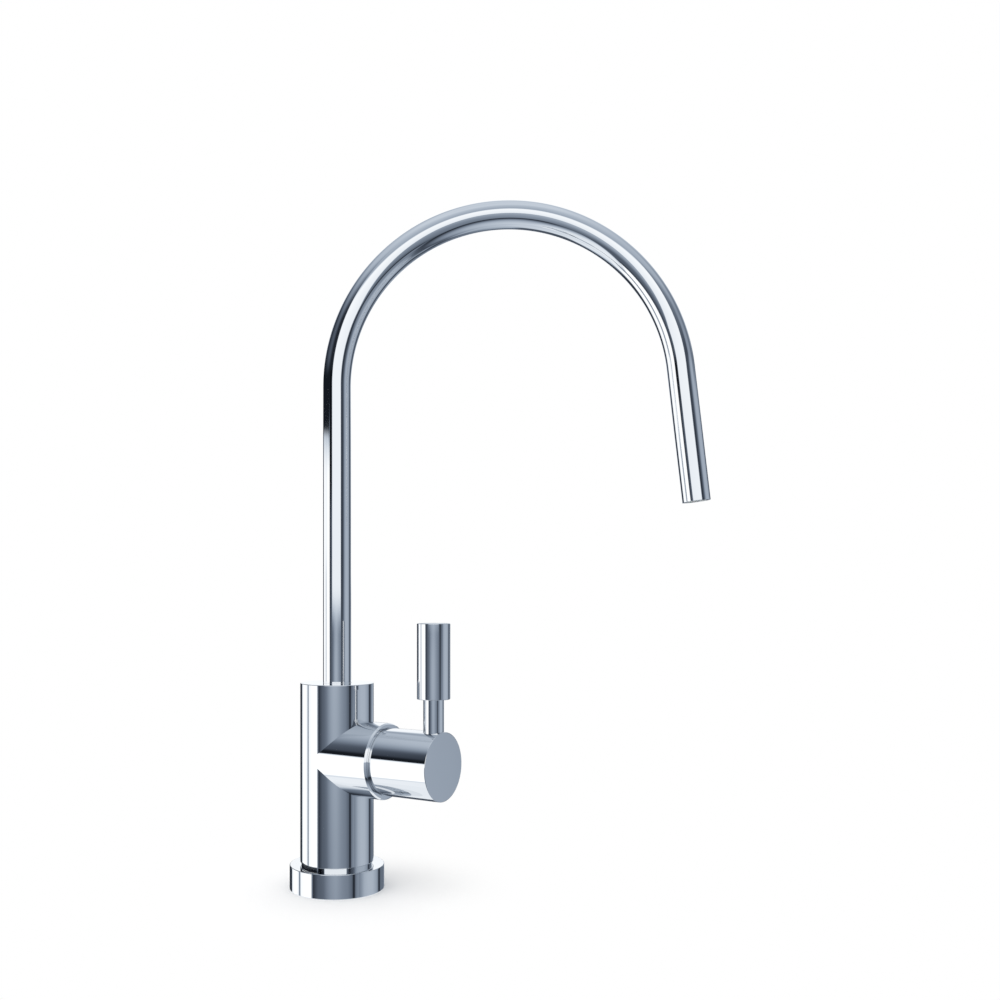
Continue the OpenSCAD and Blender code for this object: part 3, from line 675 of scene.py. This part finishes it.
class FAUCET_OT_body(bpy.types.Operator):
    """Turn the bored body and its valve barrel"""

    bl_idname = "faucet.body"
    bl_label = "Body"

    def execute(self, context):
        sizes = context.scene.faucet_sizes
        steps = sizes.turning_steps
        radius, barrel = sizes.body_d / 2, sizes.barrel_d / 2
        upright = turned(
            [
                (0, SPIGOT_H), (SPIGOT_R, SPIGOT_H), (SPIGOT_R, FLANGE_HIGH.z),
                (NECK_R, FLANGE_HIGH.z), (NECK_R, NECK_TOP), (radius, NECK_TOP),
                (radius, BODY_TOP), (0, BODY_TOP),
            ],
            ON_AXIS, steps, rounding=sizes.edge_round, rounded=(1, 5, 6), rings=RING_GAP,
        )
        branch = turned(
            [
                (0, 0), (barrel, 0), (barrel, BARREL_L),
                (barrel - TAPER_INSET, BARREL_END), (0, BARREL_END),
            ],
            ON_VALVE, steps, rounding=BARREL_ROUND, rounded=(2, 3), rings=RING_GAP,
        )
        body = combined(upright, branch, "UNION")
        cutters = (self.spout_socket(), self.valve_cavity(steps), self.lock_hole(), self.shank_seat())
        for cutter in cutters:
            body = combined(body, cutter, "DIFFERENCE")
        walls = [(ON_AXIS, radius), (ON_VALVE, barrel)]
        seat(body, "faucet_body_shell", "faucet_body", "polished_chrome", "valve_body", walls=walls)
        return {"FINISHED"}

    def spout_socket(self):
        wide = SOCKET_R + EDGE
        return turned(
            [
                (0, SOCKET_FLOOR), (SOCKET_R, SOCKET_FLOOR), (SOCKET_R, BODY_TOP - EDGE),
                (wide, SOCKET_MOUTH), (wide, BODY_TOP + 2 * PAST), (0, BODY_TOP + 2 * PAST),
            ]
        )

    def valve_cavity(self, steps):
        bore = GLAND_R + SEAT_FIT
        return turned(
            [
                (0, GLAND_L), (bore, GLAND_L), (bore, NEST_FLOOR - EDGE),
                (bore + EDGE, NEST_FLOOR), (NEST_R, NEST_FLOOR),
                (NEST_R, BARREL_END + PAST), (0, BARREL_END + PAST),
            ],
            ON_VALVE, steps,
        )

    def lock_hole(self):
        bore = LOCK_SCREW_R + SEAT_FIT
        return turned(
            [(0, LOCK_HOLE_START), (bore, LOCK_HOLE_START), (bore, LOCK_HOLE_END), (0, LOCK_HOLE_END)],
            ON_LOCK, SCREW_STEPS,
        )

    def shank_seat(self):
        bore = SHANK_HEAD_R + SEAT_FIT
        return turned(
            [
                (0, SPIGOT_H - PAST), (bore, SPIGOT_H - PAST), (bore, SHANK_SEAT_TOP),
                (CHAMBER_R, SHANK_SEAT_TOP), (CHAMBER_R, CHAMBER_WALL_TOP), (0, CHAMBER_TOP),
            ],
            ON_AXIS, ROD_STEPS,
        )


class FAUCET_OT_flange(bpy.types.Operator):
    """Turn the heavy ring on the deck"""

    bl_idname = "faucet.flange"
    bl_label = "Base Flange"

    def execute(self, context):
        sizes = context.scene.faucet_sizes
        radius, top = FLANGE_HIGH.x, FLANGE_HIGH.z
        hole = SPIGOT_R + SEAT_FIT
        groove_in, groove_out = GASKET_IN_R - SEAT_FIT, GASKET_R + SEAT_FIT
        groove_top = GASKET_T + SEAT_FIT
        ring = turned(
            [
                (hole, 0), (groove_in, 0), (groove_in, groove_top), (groove_out, groove_top),
                (groove_out, 0), (radius, 0), (radius, top), (hole, top),
            ],
            ON_AXIS, sizes.turning_steps, rounding=sizes.edge_round, rounded=(5, 6), closed=True,
        )
        walls = [(ON_AXIS, radius)]
        seat(ring, "base_ring", "faucet_body", "polished_chrome", "base_flange", walls=walls)
        return {"FINISHED"}


class FAUCET_OT_spout(bpy.types.Operator):
    """Bend the spout tube from riser to outlet"""

    bl_idname = "faucet.spout"
    bl_label = "Spout Tube"

    def execute(self, context):
        sizes = context.scene.faucet_sizes
        bm = bmesh.new()
        for radius in (sizes.tube_d / 2, sizes.tube_d / 2 - sizes.tube_wall):
            bmesh.ops.create_circle(bm, cap_ends=False, radius=radius, segments=sizes.tube_steps)
        bmesh.ops.bridge_loops(bm, edges=bm.edges[:])
        bmesh.ops.translate(bm, vec=(0, 0, TUBE_END), verts=bm.verts)
        front = bm.faces[:]
        heights = [TUBE_END + RISER_STEP * i for i in range(RISER_STEPS + 1)]
        heights.append(ARCH_START_H - DRAW_STEPS * DRAW_STEP)
        for low, high in zip(heights, heights[1:]):
            front = self.extend(bm, front, Vector((0, 0, high - low)), keep=low == TUBE_END)
        for _ in range(DRAW_STEPS):
            front = self.extend(bm, front, Vector((0, 0, DRAW_STEP)), 1 - DRAW_SHARE)
        centre = (ARCH_R, 0, ARCH_START_H)
        last = swept(bm, front, BEND_STEPS, math.pi - TAIL_TILT, centre=centre, axis=(0, 1, 0))
        bmesh.ops.delete(bm, geom=front, context="FACES_ONLY")
        front = [part for part in last if isinstance(part, bmesh.types.BMFace)]
        way = AT_OUTLET.to_3x3() @ Vector((0, 0, -1))
        for _ in range(DRAW_STEPS):
            front = self.extend(bm, front, way * DRAW_STEP, 1 + DRAW_SHARE)
        rest = TAIL_L - DRAW_STEPS * DRAW_STEP
        for _ in range(TAIL_STEPS):
            front = self.extend(bm, front, way * rest / TAIL_STEPS)
        rims = [
            edge for edge in bm.edges if edge.is_manifold and edge.calc_face_angle(0.0) > RIM_ANGLE
        ]
        bmesh.ops.bevel(
            bm, geom=rims, offset=RIM_ROUND, segments=3, profile=0.5, affect="EDGES", material=-1
        )
        bmesh.ops.recalc_face_normals(bm, faces=bm.faces)
        seat(bm, "spout_bend", "spout", "spout_chrome", "spout_tube")
        return {"FINISHED"}

    def extend(self, bm, faces, step, grow=1.0, keep=False):
        """Draws the tube's end on by one step, and keeps the faces behind it only at the foot."""
        made = bmesh.ops.extrude_face_region(bm, geom=faces)["geom"]
        if not keep:
            bmesh.ops.delete(bm, geom=faces, context="FACES_ONLY")
        corners = [part for part in made if isinstance(part, bmesh.types.BMVert)]
        bmesh.ops.translate(bm, vec=step, verts=corners)
        if grow != 1.0:
            middle = sum((corner.co for corner in corners), Vector()) / len(corners)
            space = Matrix.Translation(-middle)
            bmesh.ops.scale(bm, vec=(grow, grow, grow), space=space, verts=corners)
        return [part for part in made if isinstance(part, bmesh.types.BMFace)]


class FAUCET_OT_handle(bpy.types.Operator):
    """Turn the hub, the lever rod and the grip"""

    bl_idname = "faucet.handle"
    bl_label = "Handle"

    def execute(self, context):
        sizes = context.scene.faucet_sizes
        self.hub(sizes)
        self.rod(sizes.rod_d / 2)
        self.grip(sizes)
        return {"FINISHED"}

    def hub(self, sizes):
        radius, steps = sizes.hub_d / 2, sizes.turning_steps
        tail, bush = SPINDLE_TAIL_R + SEAT_FIT, BUSH_R + SEAT_FIT
        hub = turned(
            [
                (HUB_RECESS_R, HUB_BACK), (radius, HUB_BACK), (radius, HUB_FACE), (0, HUB_FACE),
                (0, HUB_BORE_END), (tail, HUB_BORE_END), (bush, BUSH_END),
                (bush, HUB_RECESS_END), (HUB_RECESS_R, HUB_RECESS_END),
            ],
            ON_VALVE, steps, rounding=sizes.edge_round, rounded=(1, 2), closed=True, rings=RING_GAP,
        )
        thread = LEVER_THREAD_R + SEAT_FIT
        rod_hole = turned(
            [
                (0, ROD_HOLE_START), (thread, ROD_HOLE_START), (thread, ROD_SEAT),
                (ROD_HOLE_R, ROD_SEAT), (ROD_HOLE_R, ROD_HOLE_END), (0, ROD_HOLE_END),
            ],
            ON_LEVER, PLAIN_STEPS,
        )
        hub = combined(hub, rod_hole, "DIFFERENCE")
        walls = [(ON_VALVE, radius)]
        seat(hub, "lever_hub", "handle", "polished_chrome", "handle_hub", walls=walls)

    def rod(self, radius):
        end = GRIP_START + GRIP_THREAD_L
        rod = turned(
            [
                (0, LEVER_TIP), (LEVER_TIP_R, LEVER_TIP), (LEVER_TIP_R, LEVER_TIP_END),
                (LEVER_THREAD_R, LEVER_THREAD_START), (LEVER_THREAD_R, ROD_SEAT),
                (radius, ROD_SEAT), (radius, GRIP_START), (LEVER_THREAD_R, GRIP_START),
                (LEVER_THREAD_R, end), (0, end),
            ],
            ON_LEVER, ROD_STEPS, rounding=ROD_ROUND, rounded=(5, 6, 8),
        )
        seat(rod, "lever_rod_turned", "handle", "polished_chrome", "lever_rod")

    def grip(self, sizes):
        radius, bore = sizes.grip_d / 2, LEVER_THREAD_R + SEAT_FIT
        bore_end, top = GRIP_START + GRIP_THREAD_L + 1 * MM, GRIP_START + GRIP_L
        grip = turned(
            [
                (0, bore_end), (bore, bore_end), (bore, GRIP_START),
                (radius, GRIP_START), (radius, top), (0, top),
            ],
            ON_LEVER, GRIP_STEPS, rounding=sizes.edge_round, rounded=(3, 4),
        )
        walls = [(ON_LEVER, radius)]
        seat(grip, "lever_grip_turned", "handle", "polished_chrome", "lever_grip", walls=walls)


class FAUCET_OT_shank(bpy.types.Operator):
    """Turn the hollow shank and cut its thread"""

    bl_idname = "faucet.shank"
    bl_label = "Threaded Shank"

    def execute(self, context):
        sizes = context.scene.faucet_sizes
        low, top = SHANK_LOW.z, SHANK_HIGH.z
        pitch, depth = sizes.thread_pitch, sizes.thread_depth
        core_r = SHANK_R - depth
        core = turned(
            [
                (SHANK_BORE_R, low), (core_r - SHANK_LEAD_R, low), (core_r, low + SHANK_LEAD_L),
                (core_r, THREAD_TOP), (CREST_R, THREAD_TOP + depth), (CREST_R, SPIGOT_H),
                (SHANK_HEAD_R, SPIGOT_H), (SHANK_HEAD_R, SHANK_GROOVE_LOW),
                (SHANK_GROOVE_R, SHANK_GROOVE_LOW), (SHANK_GROOVE_R, SHANK_GROOVE_HIGH),
                (SHANK_HEAD_R, SHANK_GROOVE_HIGH), (SHANK_HEAD_R, top - EDGE),
                (SHANK_HEAD_R - EDGE, top), (SHANK_BORE_R, top),
            ],
            ON_AXIS, NUT_STEPS, closed=True,
        )
        ridge = self.thread(low + THREAD_GAP_LOW, THREAD_TOP - THREAD_GAP_HIGH, pitch, depth)
        core = combined(core, ridge, "UNION")
        for side in (-1, 1):
            start, end = sorted((side * SLOT_IN, side * SLOT_OUT))
            slot = block((start, -SLOT_W / 2, SPIGOT_H - PAST), (end, SLOT_W / 2, SPIGOT_H + SLOT_L))
            core = combined(core, slot, "DIFFERENCE")
        seat(core, "shank_thread", "faucet_body", "brass", "threaded_shank", sharp=THREAD_CREASE)
        return {"FINISHED"}

    def thread(self, low, high, pitch, depth):
        """A ridge wound round the core, running out into it at both ends"""
        bm = bmesh.new()
        root = SHANK_R - depth - ROOT_SINK
        section = [
            (root, -ROOT_SHARE * pitch), (CREST_R, -CREST_SHARE * pitch),
            (CREST_R, CREST_SHARE * pitch), (root, ROOT_SHARE * pitch),
        ]
        face = bm.faces.new([bm.verts.new((radius, 0, low + height)) for radius, height in section])
        turns = (high - low) / pitch
        steps = int(turns * THREAD_STEPS)
        swept(bm, [face], steps, math.tau * turns, rise=(high - low) / steps)
        sunk = root - RUN_OUT_SINK
        for vertex in bm.verts:
            radius = math.hypot(vertex.co.x, vertex.co.y)
            if radius > (root + CREST_R) / 2:
                run = min(vertex.co.z - low, high - vertex.co.z) / pitch
                share = min(max(run / RUN_OUT_TURNS, 0.0), 1.0)
                wanted = sunk + (CREST_R - sunk) * share
                vertex.co.x *= wanted / radius
                vertex.co.y *= wanted / radius
        bmesh.ops.recalc_face_normals(bm, faces=bm.faces)
        return bm


class FAUCET_OT_clamp(bpy.types.Operator):
    """Make the nut and the two washers that hold the faucet to the deck"""

    bl_idname = "faucet.clamp"
    bl_label = "Deck Clamp"

    def execute(self, context):
        self.nut(NUT_LOW.z, NUT_HIGH.z, NUT_HIGH.x)
        names = ("steel_backing_washer", "zinc_steel", "clamp_steel_washer")
        self.washer(STEEL_LOW, STEEL_HIGH, STEEL_ROUND, *names)
        names = ("rubber_grip_washer", "black_rubber", "clamp_rubber_washer")
        self.washer(RUBBER_LOW, RUBBER_HIGH, RUBBER_ROUND, *names)
        return {"FINISHED"}

    def nut(self, low, high, corner):
        face_r = NUT_FLATS / 2 - EDGE
        rise = (corner - face_r) * math.tan(NUT_CHAMFER)
        chamfers = turned(
            [
                (0, low), (face_r, low), (corner, low + rise),
                (corner, high - rise), (face_r, high), (0, high),
            ]
        )
        nut = combined(prism(NUT_FLATS, low - PAST, high + PAST), chamfers, "INTERSECT")
        mouth = NUT_BORE_R + NUT_LEAD + PAST
        bore = turned(
            [
                (0, low - PAST), (mouth, low - PAST), (NUT_BORE_R, low + NUT_LEAD),
                (NUT_BORE_R, high - NUT_LEAD), (mouth, high + PAST), (0, high + PAST),
            ],
            ON_AXIS, NUT_STEPS,
        )
        nut = combined(nut, bore, "DIFFERENCE")
        seat(nut, "clamp_hex_nut", "deck_clamp", "brass", "mounting_nut", sharp=NUT_CREASE)

    def washer(self, low, high, rounding, name, slot, node):
        ring = turned(
            [(WASHER_HOLE_R, low.z), (high.x, low.z), (high.x, high.z), (WASHER_HOLE_R, high.z)],
            ON_AXIS, ROD_STEPS, rounding=rounding, rounded=(0, 1, 2, 3), closed=True,
        )
        seat(ring, name, "deck_clamp", slot, node)


class FAUCET_OT_inlet(bpy.types.Operator):
    """Make the plug-in connector for the water tube and its collet"""

    bl_idname = "faucet.inlet"
    bl_label = "Water Inlet"

    def execute(self, context):
        self.connector(CONNECTOR_LOW.z, CONNECTOR_HIGH.z, CONNECTOR_HIGH.x)
        self.collet(COLLET_LOW.z, COLLET_HIGH.z, COLLET_HIGH.x)
        return {"FINISHED"}

    def connector(self, low, top, corner):
        flats = 2 * corner * math.cos(HEXAGON_TURN)
        hex_low = top - CONNECTOR_HEX_L
        chamfers = turned(
            [
                (0, hex_low), (corner - HEX_CHAMFER_R, hex_low), (corner, hex_low + HEX_CHAMFER_L),
                (corner, top - HEX_CHAMFER_L), (corner - HEX_CHAMFER_R, top), (0, top),
            ]
        )
        head = combined(prism(flats, hex_low - PAST, top + PAST), chamfers, "INTERSECT")
        sleeve_r = flats / 2 - SLEEVE_INSET
        sleeve = turned(
            [
                (0, low), (sleeve_r - SLEEVE_LEAD, low), (sleeve_r, low + SLEEVE_LEAD),
                (sleeve_r, hex_low + PAST), (0, hex_low + PAST),
            ],
            rounding=SLEEVE_ROUND, rounded=(1, 2),
        )
        connector = combined(head, sleeve, "UNION")
        collet_bore, shank_bore = COLLET_R + RUN_FIT, SHANK_R + SEAT_FIT
        web_top = TUBE_BORE_TOP + STOP_WEB_T
        bores = turned(
            [
                (0, low - PAST), (collet_bore, low - PAST), (collet_bore, CAM_LOW - CAM_LEAD),
                (CAM_R, CAM_LOW), (CAM_R, CAM_TOP), (CAM_LAND_R, CAM_TOP), (CAM_LAND_R, SEAL_LOW),
                (SEAL_R, SEAL_LOW), (SEAL_R, SEAL_TOP), (TUBE_BORE_R, SEAL_TOP),
                (TUBE_BORE_R, TUBE_BORE_TOP), (STOP_HOLE_R, TUBE_BORE_TOP), (STOP_HOLE_R, web_top),
                (shank_bore, web_top), (shank_bore, top + PAST), (0, top + PAST),
            ]
        )
        connector = combined(connector, bores, "DIFFERENCE")
        name, slot, node = "inlet_plug_connector", "connector_plastic", "inlet_connector"
        seat(connector, name, "faucet_body", slot, node, sharp=THREAD_CREASE)

    def collet(self, low, top, flange):
        collet = turned(
            [
                (TUBE_BORE_R, low), (flange, low), (flange, low + COLLET_FLANGE_T),
                (COLLET_R, low + COLLET_FLANGE_T), (COLLET_R, top - COLLET_TIP_LOW),
                (COLLET_TIP_R, top - COLLET_TIP_START), (COLLET_TIP_R, top - COLLET_TIP_LEAD),
                (COLLET_TIP_R - COLLET_TIP_LEAD, top), (TUBE_BORE_R, top),
            ],
            rounding=COLLET_ROUND, rounded=(0, 1, 2), closed=True,
        )
        long, short = COLLET_TIP_R + PAST, COLLET_SLOT_W / 2
        for x, y in ((long, short), (short, long)):
            slot = block((-x, -y, top - COLLET_SLOT_L), (x, y, top + PAST))
            collet = combined(collet, slot, "DIFFERENCE")
        seat(collet, "inlet_grip_collet", "collet", "grey_plastic", "inlet_collet")


class FAUCET_OT_finishes(bpy.types.Operator):
    """Give each CAD piece that stays its finish"""

    bl_idname = "faucet.finishes"
    bl_label = "Finishes"

    def execute(self, context):
        slots = {row["node"]: row["material_slot"] for row in frame["record"]["subparts"]}
        for name, node in frame["nodes"].items():
            material = finish_of(slots[name])
            if not node.material_slots:
                node.data.materials.append(material)
            for slot in node.material_slots:
                slot.material = material
        return {"FINISHED"}


# Studio

# The lighting plan of a dome that only mirrors see. Azimuths are in degrees from -Y, where the
# camera stands, towards +X, and heights in degrees above the level. Most values of DOME and CARDS
# were made by a program that fitted them to the brightness of the photograph's chrome, and rounded.
# The dome's own grey levels by height
DOME = (
    (-90, 0.62), (-75, 0.51), (-65, 0.42), (-57, 0.29), (-50, 0.15), (-45, 0.05), (-40, 0.00),
    (-35, 0.12), (20, 0.30), (33, 0.26), (41, 0.39), (48, 0.43), (60, 0.50), (72, 0.61),
    (90, 0.58),
)
# Cards on it, later ones in front: azimuths from and to, heights from and to, levels from left to
# right, ratio of top to bottom level, widths of the soft edges at left, right, bottom and top
CARDS = {
    "floor_left": (-232, -7, -93, -36, (0.41, 0.57, 0.58, 0.77, 0.70, 0.69), 1.16, 23, 45, 25, 6),
    "floor_back": (141, 228, -73, -21, (0.31, 0.42, 0.74, 0.89), 0.96, 10, 2, 33, 23),
    "back_wall": (140, 224, -25, 20, (0.24, 0.20, 0.07, 0.03, 0.03), 1.15, 20, 0, 3, 6),
    "back_high": (130, 217, 5, 62, (0.53, 0.63, 0.97, 0.36, 1.10), 0.80, 15, 25, 12, 22),
    "left_dark": (-158, -35, 11, 57, (0.03, 0.01, 0.04, 0.07, 0.01, 0.02), 2.20, 25, 5, 1, 26),
    "dark_gap": (-76, -26, -4, 18, (0.07, 0.00, 0.08), 0.45, 0, 9, 6, 0),
    "front_wall": (
        -56, 59, -43, 8, (0.02, 0.10, 0.08, 0.17, 0.25, 0.20, 0.19, 0.09, 0.25), 1.07, 0, 1, 11, 3
    ),
    "front_glow": (-45, 36, -36, 3, (0.33,), 1.34, 43, 45, 38, 8),
    "dark_flag": (34, 74, -10, 44, (0.12, 0.04, 0.00), 0.32, 4, 14, 13, 29),
    "right_wall": (
        45, 157, -47, 22, (0.45, 0.28, 0.44, 0.49, 0.48, 0.37, 0.15, 0.18, 0.00), 0.82, 33, 10, 20, 4
    ),
    "right_dark": (87, 132, 17, 63, (0.13,), 1.69, 22, 21, 2, 37),
    "window": (-38, 35, -2, 39, (0.84,), 1.16, 3, 1, 3, 9),
    "softbox_back": (-133, -104, -45, 13, (0.90, 1.08, 1.04), 0.95, 0, 0, 10, 5),
    "softbox_front": (-106, -59, -41, 13, (0.95, 1.00, 1.12, 1.04), 0.93, 0, 0, 4, 5),
    "softbox_seam": (-101, -93, -45, 4, (0.10,), 3.00, 2, 2, 3, 3),
    "back_window": (165, 196, 0, 38, (0.90,), 1.04, 3, 5, 2, 9),
    "back_skirt": (173, 203, -45, -22, (0.07,), 1.00, 5, 5, 3, 5),
    "softbox_lid": (-168, -60, 11, 24, (0.01,), 1.00, 8, 4, 0, 8),
    "right_low": (112, 166, -46, -23, (0.85, 0.04, 0.36), 0.32, 18, 4, 9, 8),
    "right_light": (142, 159, -15, 1, (0.61,), 0.32, 5, 2, 8, 4),
    "front_post": (40, 50, -36, 16, (0.02,), 1.00, 4, 4, 4, 4),
    "right_post": (121, 137, -36, 16, (0.04,), 1.00, 5, 4, 4, 4),
}

# The photograph's camera, fitted to edges measured in it, with lens and sensor in millimetres
CAMERA_PLACE = (0.03835, -0.44570, 0.12201)
CAMERA_LENS = 37.366
CAMERA_SENSOR = 36.0
CAMERA_SHIFT = (0.0736, 0.1027)
CAMERA_CLIP = 0.01
# Floor, and the distances between which it fades to white in the camera's view
FLOOR_R = 6.0
FLOOR_STEPS = 96
FADE_START = 0.02
FADE_END = 0.08
LAMP_D = 1.2
LAMP_PLACE = Vector((-0.5, -0.7, 1.4))
LAMP_AIM = Vector((0.05, 0, 0.1))
DOME_CENTRE = (0.03, 0, 0.12)
DOME_STEPS = 288
# Deck card: its size, its height above the rubber washer and its level
DECK_CARD_R = 40 * MM
DECK_CARD_STEPS = 64
DECK_CARD_LIFT = 0.5 * MM
DECK_CARD_LEVEL = 0.82
# Rays that don't see the dome and the deck card, which leaves them to mirrors
HIDDEN_FROM = ("camera", "diffuse", "transmission", "shadow", "volume_scatter")


def steps_between(stops, spot):
    """The value at a spot between stops given as (spot, value)."""
    for (low, first), (high, second) in zip(stops, stops[1:]):
        if spot <= high:
            return first + (second - first) * (spot - low) / (high - low)
    return stops[-1][1]


def soft_edge(distance, width):
    """From 0 at an edge to 1 at its soft width inside it."""
    if not width:
        return 1.0
    share = min(max(distance / width, 0.0), 1.0)
    return share * share * (3 - 2 * share)


def mirrored_level(azimuth, height):
    """The grey level that the lighting plan gives in one direction."""
    level = steps_between(DOME, height)
    for start, end, low, high, levels, ratio, *soft in CARDS.values():
        along = (azimuth - start) % 360
        if along > end - start or not low <= height <= high:
            continue
        reach = [(end - start) * i / max(1, len(levels) - 1) for i in range(len(levels))]
        own = steps_between(list(zip(reach, levels)), along) if len(levels) > 1 else levels[0]
        own *= 1 + (ratio - 1) * (height - low) / (high - low)
        distances = (along, end - start - along, height - low, high - height)
        cover = math.prod(soft_edge(*pair) for pair in zip(distances, soft))
        level += (own - level) * cover
    return level


def tinted(level, gain):
    """The colour of a level: dark parts of the studio are bluish, bright ones neutral."""
    share = min(level, 1.0)
    red = 0.79 + 0.2 * share
    blue = 1.45 - 0.44 * share ** 0.55
    return (red * level * gain, level * gain, blue * level * gain, 1.0)


class FAUCET_OT_studio(bpy.types.Operator):
    """Set up the camera, the floor, the soft light and the dome that the chrome mirrors"""

    bl_idname = "faucet.studio"
    bl_label = "Studio"

    def execute(self, context):
        studio = context.scene.faucet_studio
        self.camera(context)
        self.world(context, studio)
        self.floor(studio)
        self.lamp(studio)
        self.dome(studio)
        self.deck_card(studio)
        context.scene.view_settings.view_transform = "Standard"
        return {"FINISHED"}

    def camera(self, context):
        data = bpy.data.cameras.new("photo_camera")
        data.lens = CAMERA_LENS
        data.sensor_width = CAMERA_SENSOR
        data.shift_x, data.shift_y = CAMERA_SHIFT
        data.clip_start = CAMERA_CLIP
        data.dof.use_dof = False
        camera = bpy.data.objects.new("photo_camera", data)
        camera.location = CAMERA_PLACE
        camera.rotation_euler = (math.radians(90), 0, 0)
        context.scene.collection.objects.link(camera)
        context.scene.camera = camera

    def world(self, context, studio):
        """White to the camera, to mirrors and to glass, and a plain even light on the rest"""
        world = bpy.data.worlds.new("studio_world")
        finish = Finish(world)
        seen = finish.ray("Camera").larger(finish.ray("Glossy")).larger(finish.ray("Transmission"))
        strength = studio.world_level + seen * (1.0 - studio.world_level)
        inputs = {"Color": (1, 1, 1, 1), "Strength": strength}
        finish.output(finish.node("ShaderNodeBackground", None, inputs), "World")
        context.scene.world = world

    def floor(self, studio):
        """A floor that takes shadows near the faucet and is white further off"""
        bm = bmesh.new()
        bmesh.ops.create_circle(bm, cap_ends=True, radius=FLOOR_R, segments=FLOOR_STEPS)
        floor = loose_object("studio_floor", bm)
        material = bpy.data.materials.new("floor_paint")
        finish = Finish(material)
        spot = finish.node("ShaderNodeTexCoord").outputs["Object"]
        distance = finish.value("ShaderNodeVectorMath", 1, {"operation": "LENGTH"}, {0: spot})
        smooth = {"clamp": True, "interpolation_type": "SMOOTHSTEP"}
        inputs = {"Value": distance, "From Min": FADE_START, "From Max": FADE_END}
        far = finish.value("ShaderNodeMapRange", 0, smooth, inputs)
        inputs = {"Color": shade(studio.floor), "Roughness": 0.0}
        paint = finish.node("ShaderNodeBsdfDiffuse", None, inputs)
        white = finish.node("ShaderNodeEmission", None, {"Color": (1, 1, 1, 1), "Strength": 1.0})
        inputs = {0: far * finish.ray("Camera"), 1: paint.outputs[0], 2: white.outputs[0]}
        finish.output(finish.node("ShaderNodeMixShader", None, inputs))
        floor.data.materials.append(material)
        floor.visible_glossy = False

    def lamp(self, studio):
        data = bpy.data.lights.new("soft_lamp", "AREA")
        data.shape = "DISK"
        data.size = LAMP_D
        data.energy = studio.lamp_level
        lamp = bpy.data.objects.new("soft_lamp", data)
        lamp.location = LAMP_PLACE
        lamp.rotation_euler = (LAMP_AIM - LAMP_PLACE).to_track_quat("-Z", "Y").to_euler()
        lamp.visible_glossy = False
        bpy.context.scene.collection.objects.link(lamp)

    def dome(self, studio):
        """A dome painted with the lighting plan, lit by itself, that only mirrors see"""
        radius = studio.dome_radius
        bm = bmesh.new()
        bmesh.ops.create_uvsphere(bm, u_segments=DOME_STEPS, v_segments=DOME_STEPS, radius=radius)
        layer = bm.verts.layers.float_color.new("light")
        for vertex in bm.verts:
            azimuth = math.degrees(math.atan2(vertex.co.x, -vertex.co.y))
            height = math.degrees(math.asin(max(-1.0, min(1.0, vertex.co.z / radius))))
            vertex[layer] = tinted(mirrored_level(azimuth, height), studio.dome_level)
        bmesh.ops.translate(bm, vec=DOME_CENTRE, verts=bm.verts)
        dome = loose_object("studio_dome", bm)
        finish = self.mirrored(dome, "dome_light")
        light = finish.node("ShaderNodeAttribute", {"attribute_name": "light"}).outputs["Color"]
        self.shine(finish, light)

    def deck_card(self, studio):
        """A pale card for mirrors only, so that the chrome doesn't show what is under the deck"""
        bm = bmesh.new()
        bmesh.ops.create_circle(bm, cap_ends=True, radius=DECK_CARD_R, segments=DECK_CARD_STEPS)
        bmesh.ops.translate(bm, vec=(0, 0, RUBBER_HIGH.z + DECK_CARD_LIFT), verts=bm.verts)
        card = loose_object("studio_deck_card", bm)
        finish = self.mirrored(card, "deck_card_light")
        self.shine(finish, tinted(DECK_CARD_LEVEL, studio.dome_level))

    def mirrored(self, made, name):
        """Lets only mirrors see a shape and gives back the empty node tree of its material"""
        material = bpy.data.materials.new(name)
        material.cycles.emission_sampling = "NONE"
        made.data.materials.append(material)
        for way in HIDDEN_FROM:
            setattr(made, "visible_" + way, False)
        return Finish(material)

    def shine(self, finish, colour):
        """Lets a material give out light of one colour"""
        inputs = {"Color": colour, "Strength": 1.0}
        finish.output(finish.node("ShaderNodeEmission", None, inputs))


GROUPS = {
    "faucet_sizes": FaucetSizes,
    "faucet_colours": FaucetColours,
    "faucet_studio": FaucetStudio,
}
OPERATORS = (
    FAUCET_OT_body,
    FAUCET_OT_flange,
    FAUCET_OT_spout,
    FAUCET_OT_handle,
    FAUCET_OT_shank,
    FAUCET_OT_clamp,
    FAUCET_OT_inlet,
    FAUCET_OT_finishes,
    FAUCET_OT_studio,
)


class FAUCET_PT_panel(bpy.types.Panel):
    bl_idname = "FAUCET_PT_panel"
    bl_label = "Faucet"
    bl_space_type = "VIEW_3D"
    bl_region_type = "UI"
    bl_category = "Faucet"

    def draw(self, context):
        layout = self.layout
        for name, group in GROUPS.items():
            column = layout.column()
            for setting in group.__annotations__:
                column.prop(getattr(context.scene, name), setting)
        for operator in OPERATORS:
            layout.operator(operator.bl_idname)


CLASSES = (*GROUPS.values(), *OPERATORS, FAUCET_PT_panel)


def register():
    for cls in CLASSES:
        bpy.utils.register_class(cls)
    for name, group in GROUPS.items():
        setattr(bpy.types.Scene, name, bpy.props.PointerProperty(type=group))


def unregister():
    for name in GROUPS:
        delattr(bpy.types.Scene, name)
    for cls in reversed(CLASSES):
        bpy.utils.unregister_class(cls)


def main():
    register()
    bpy.ops.faucet.body()
    bpy.ops.faucet.flange()
    bpy.ops.faucet.spout()
    bpy.ops.faucet.handle()
    bpy.ops.faucet.shank()
    bpy.ops.faucet.clamp()
    bpy.ops.faucet.inlet()
    bpy.ops.faucet.finishes()
    bpy.ops.faucet.studio()


if __name__ == "__main__":
    main()
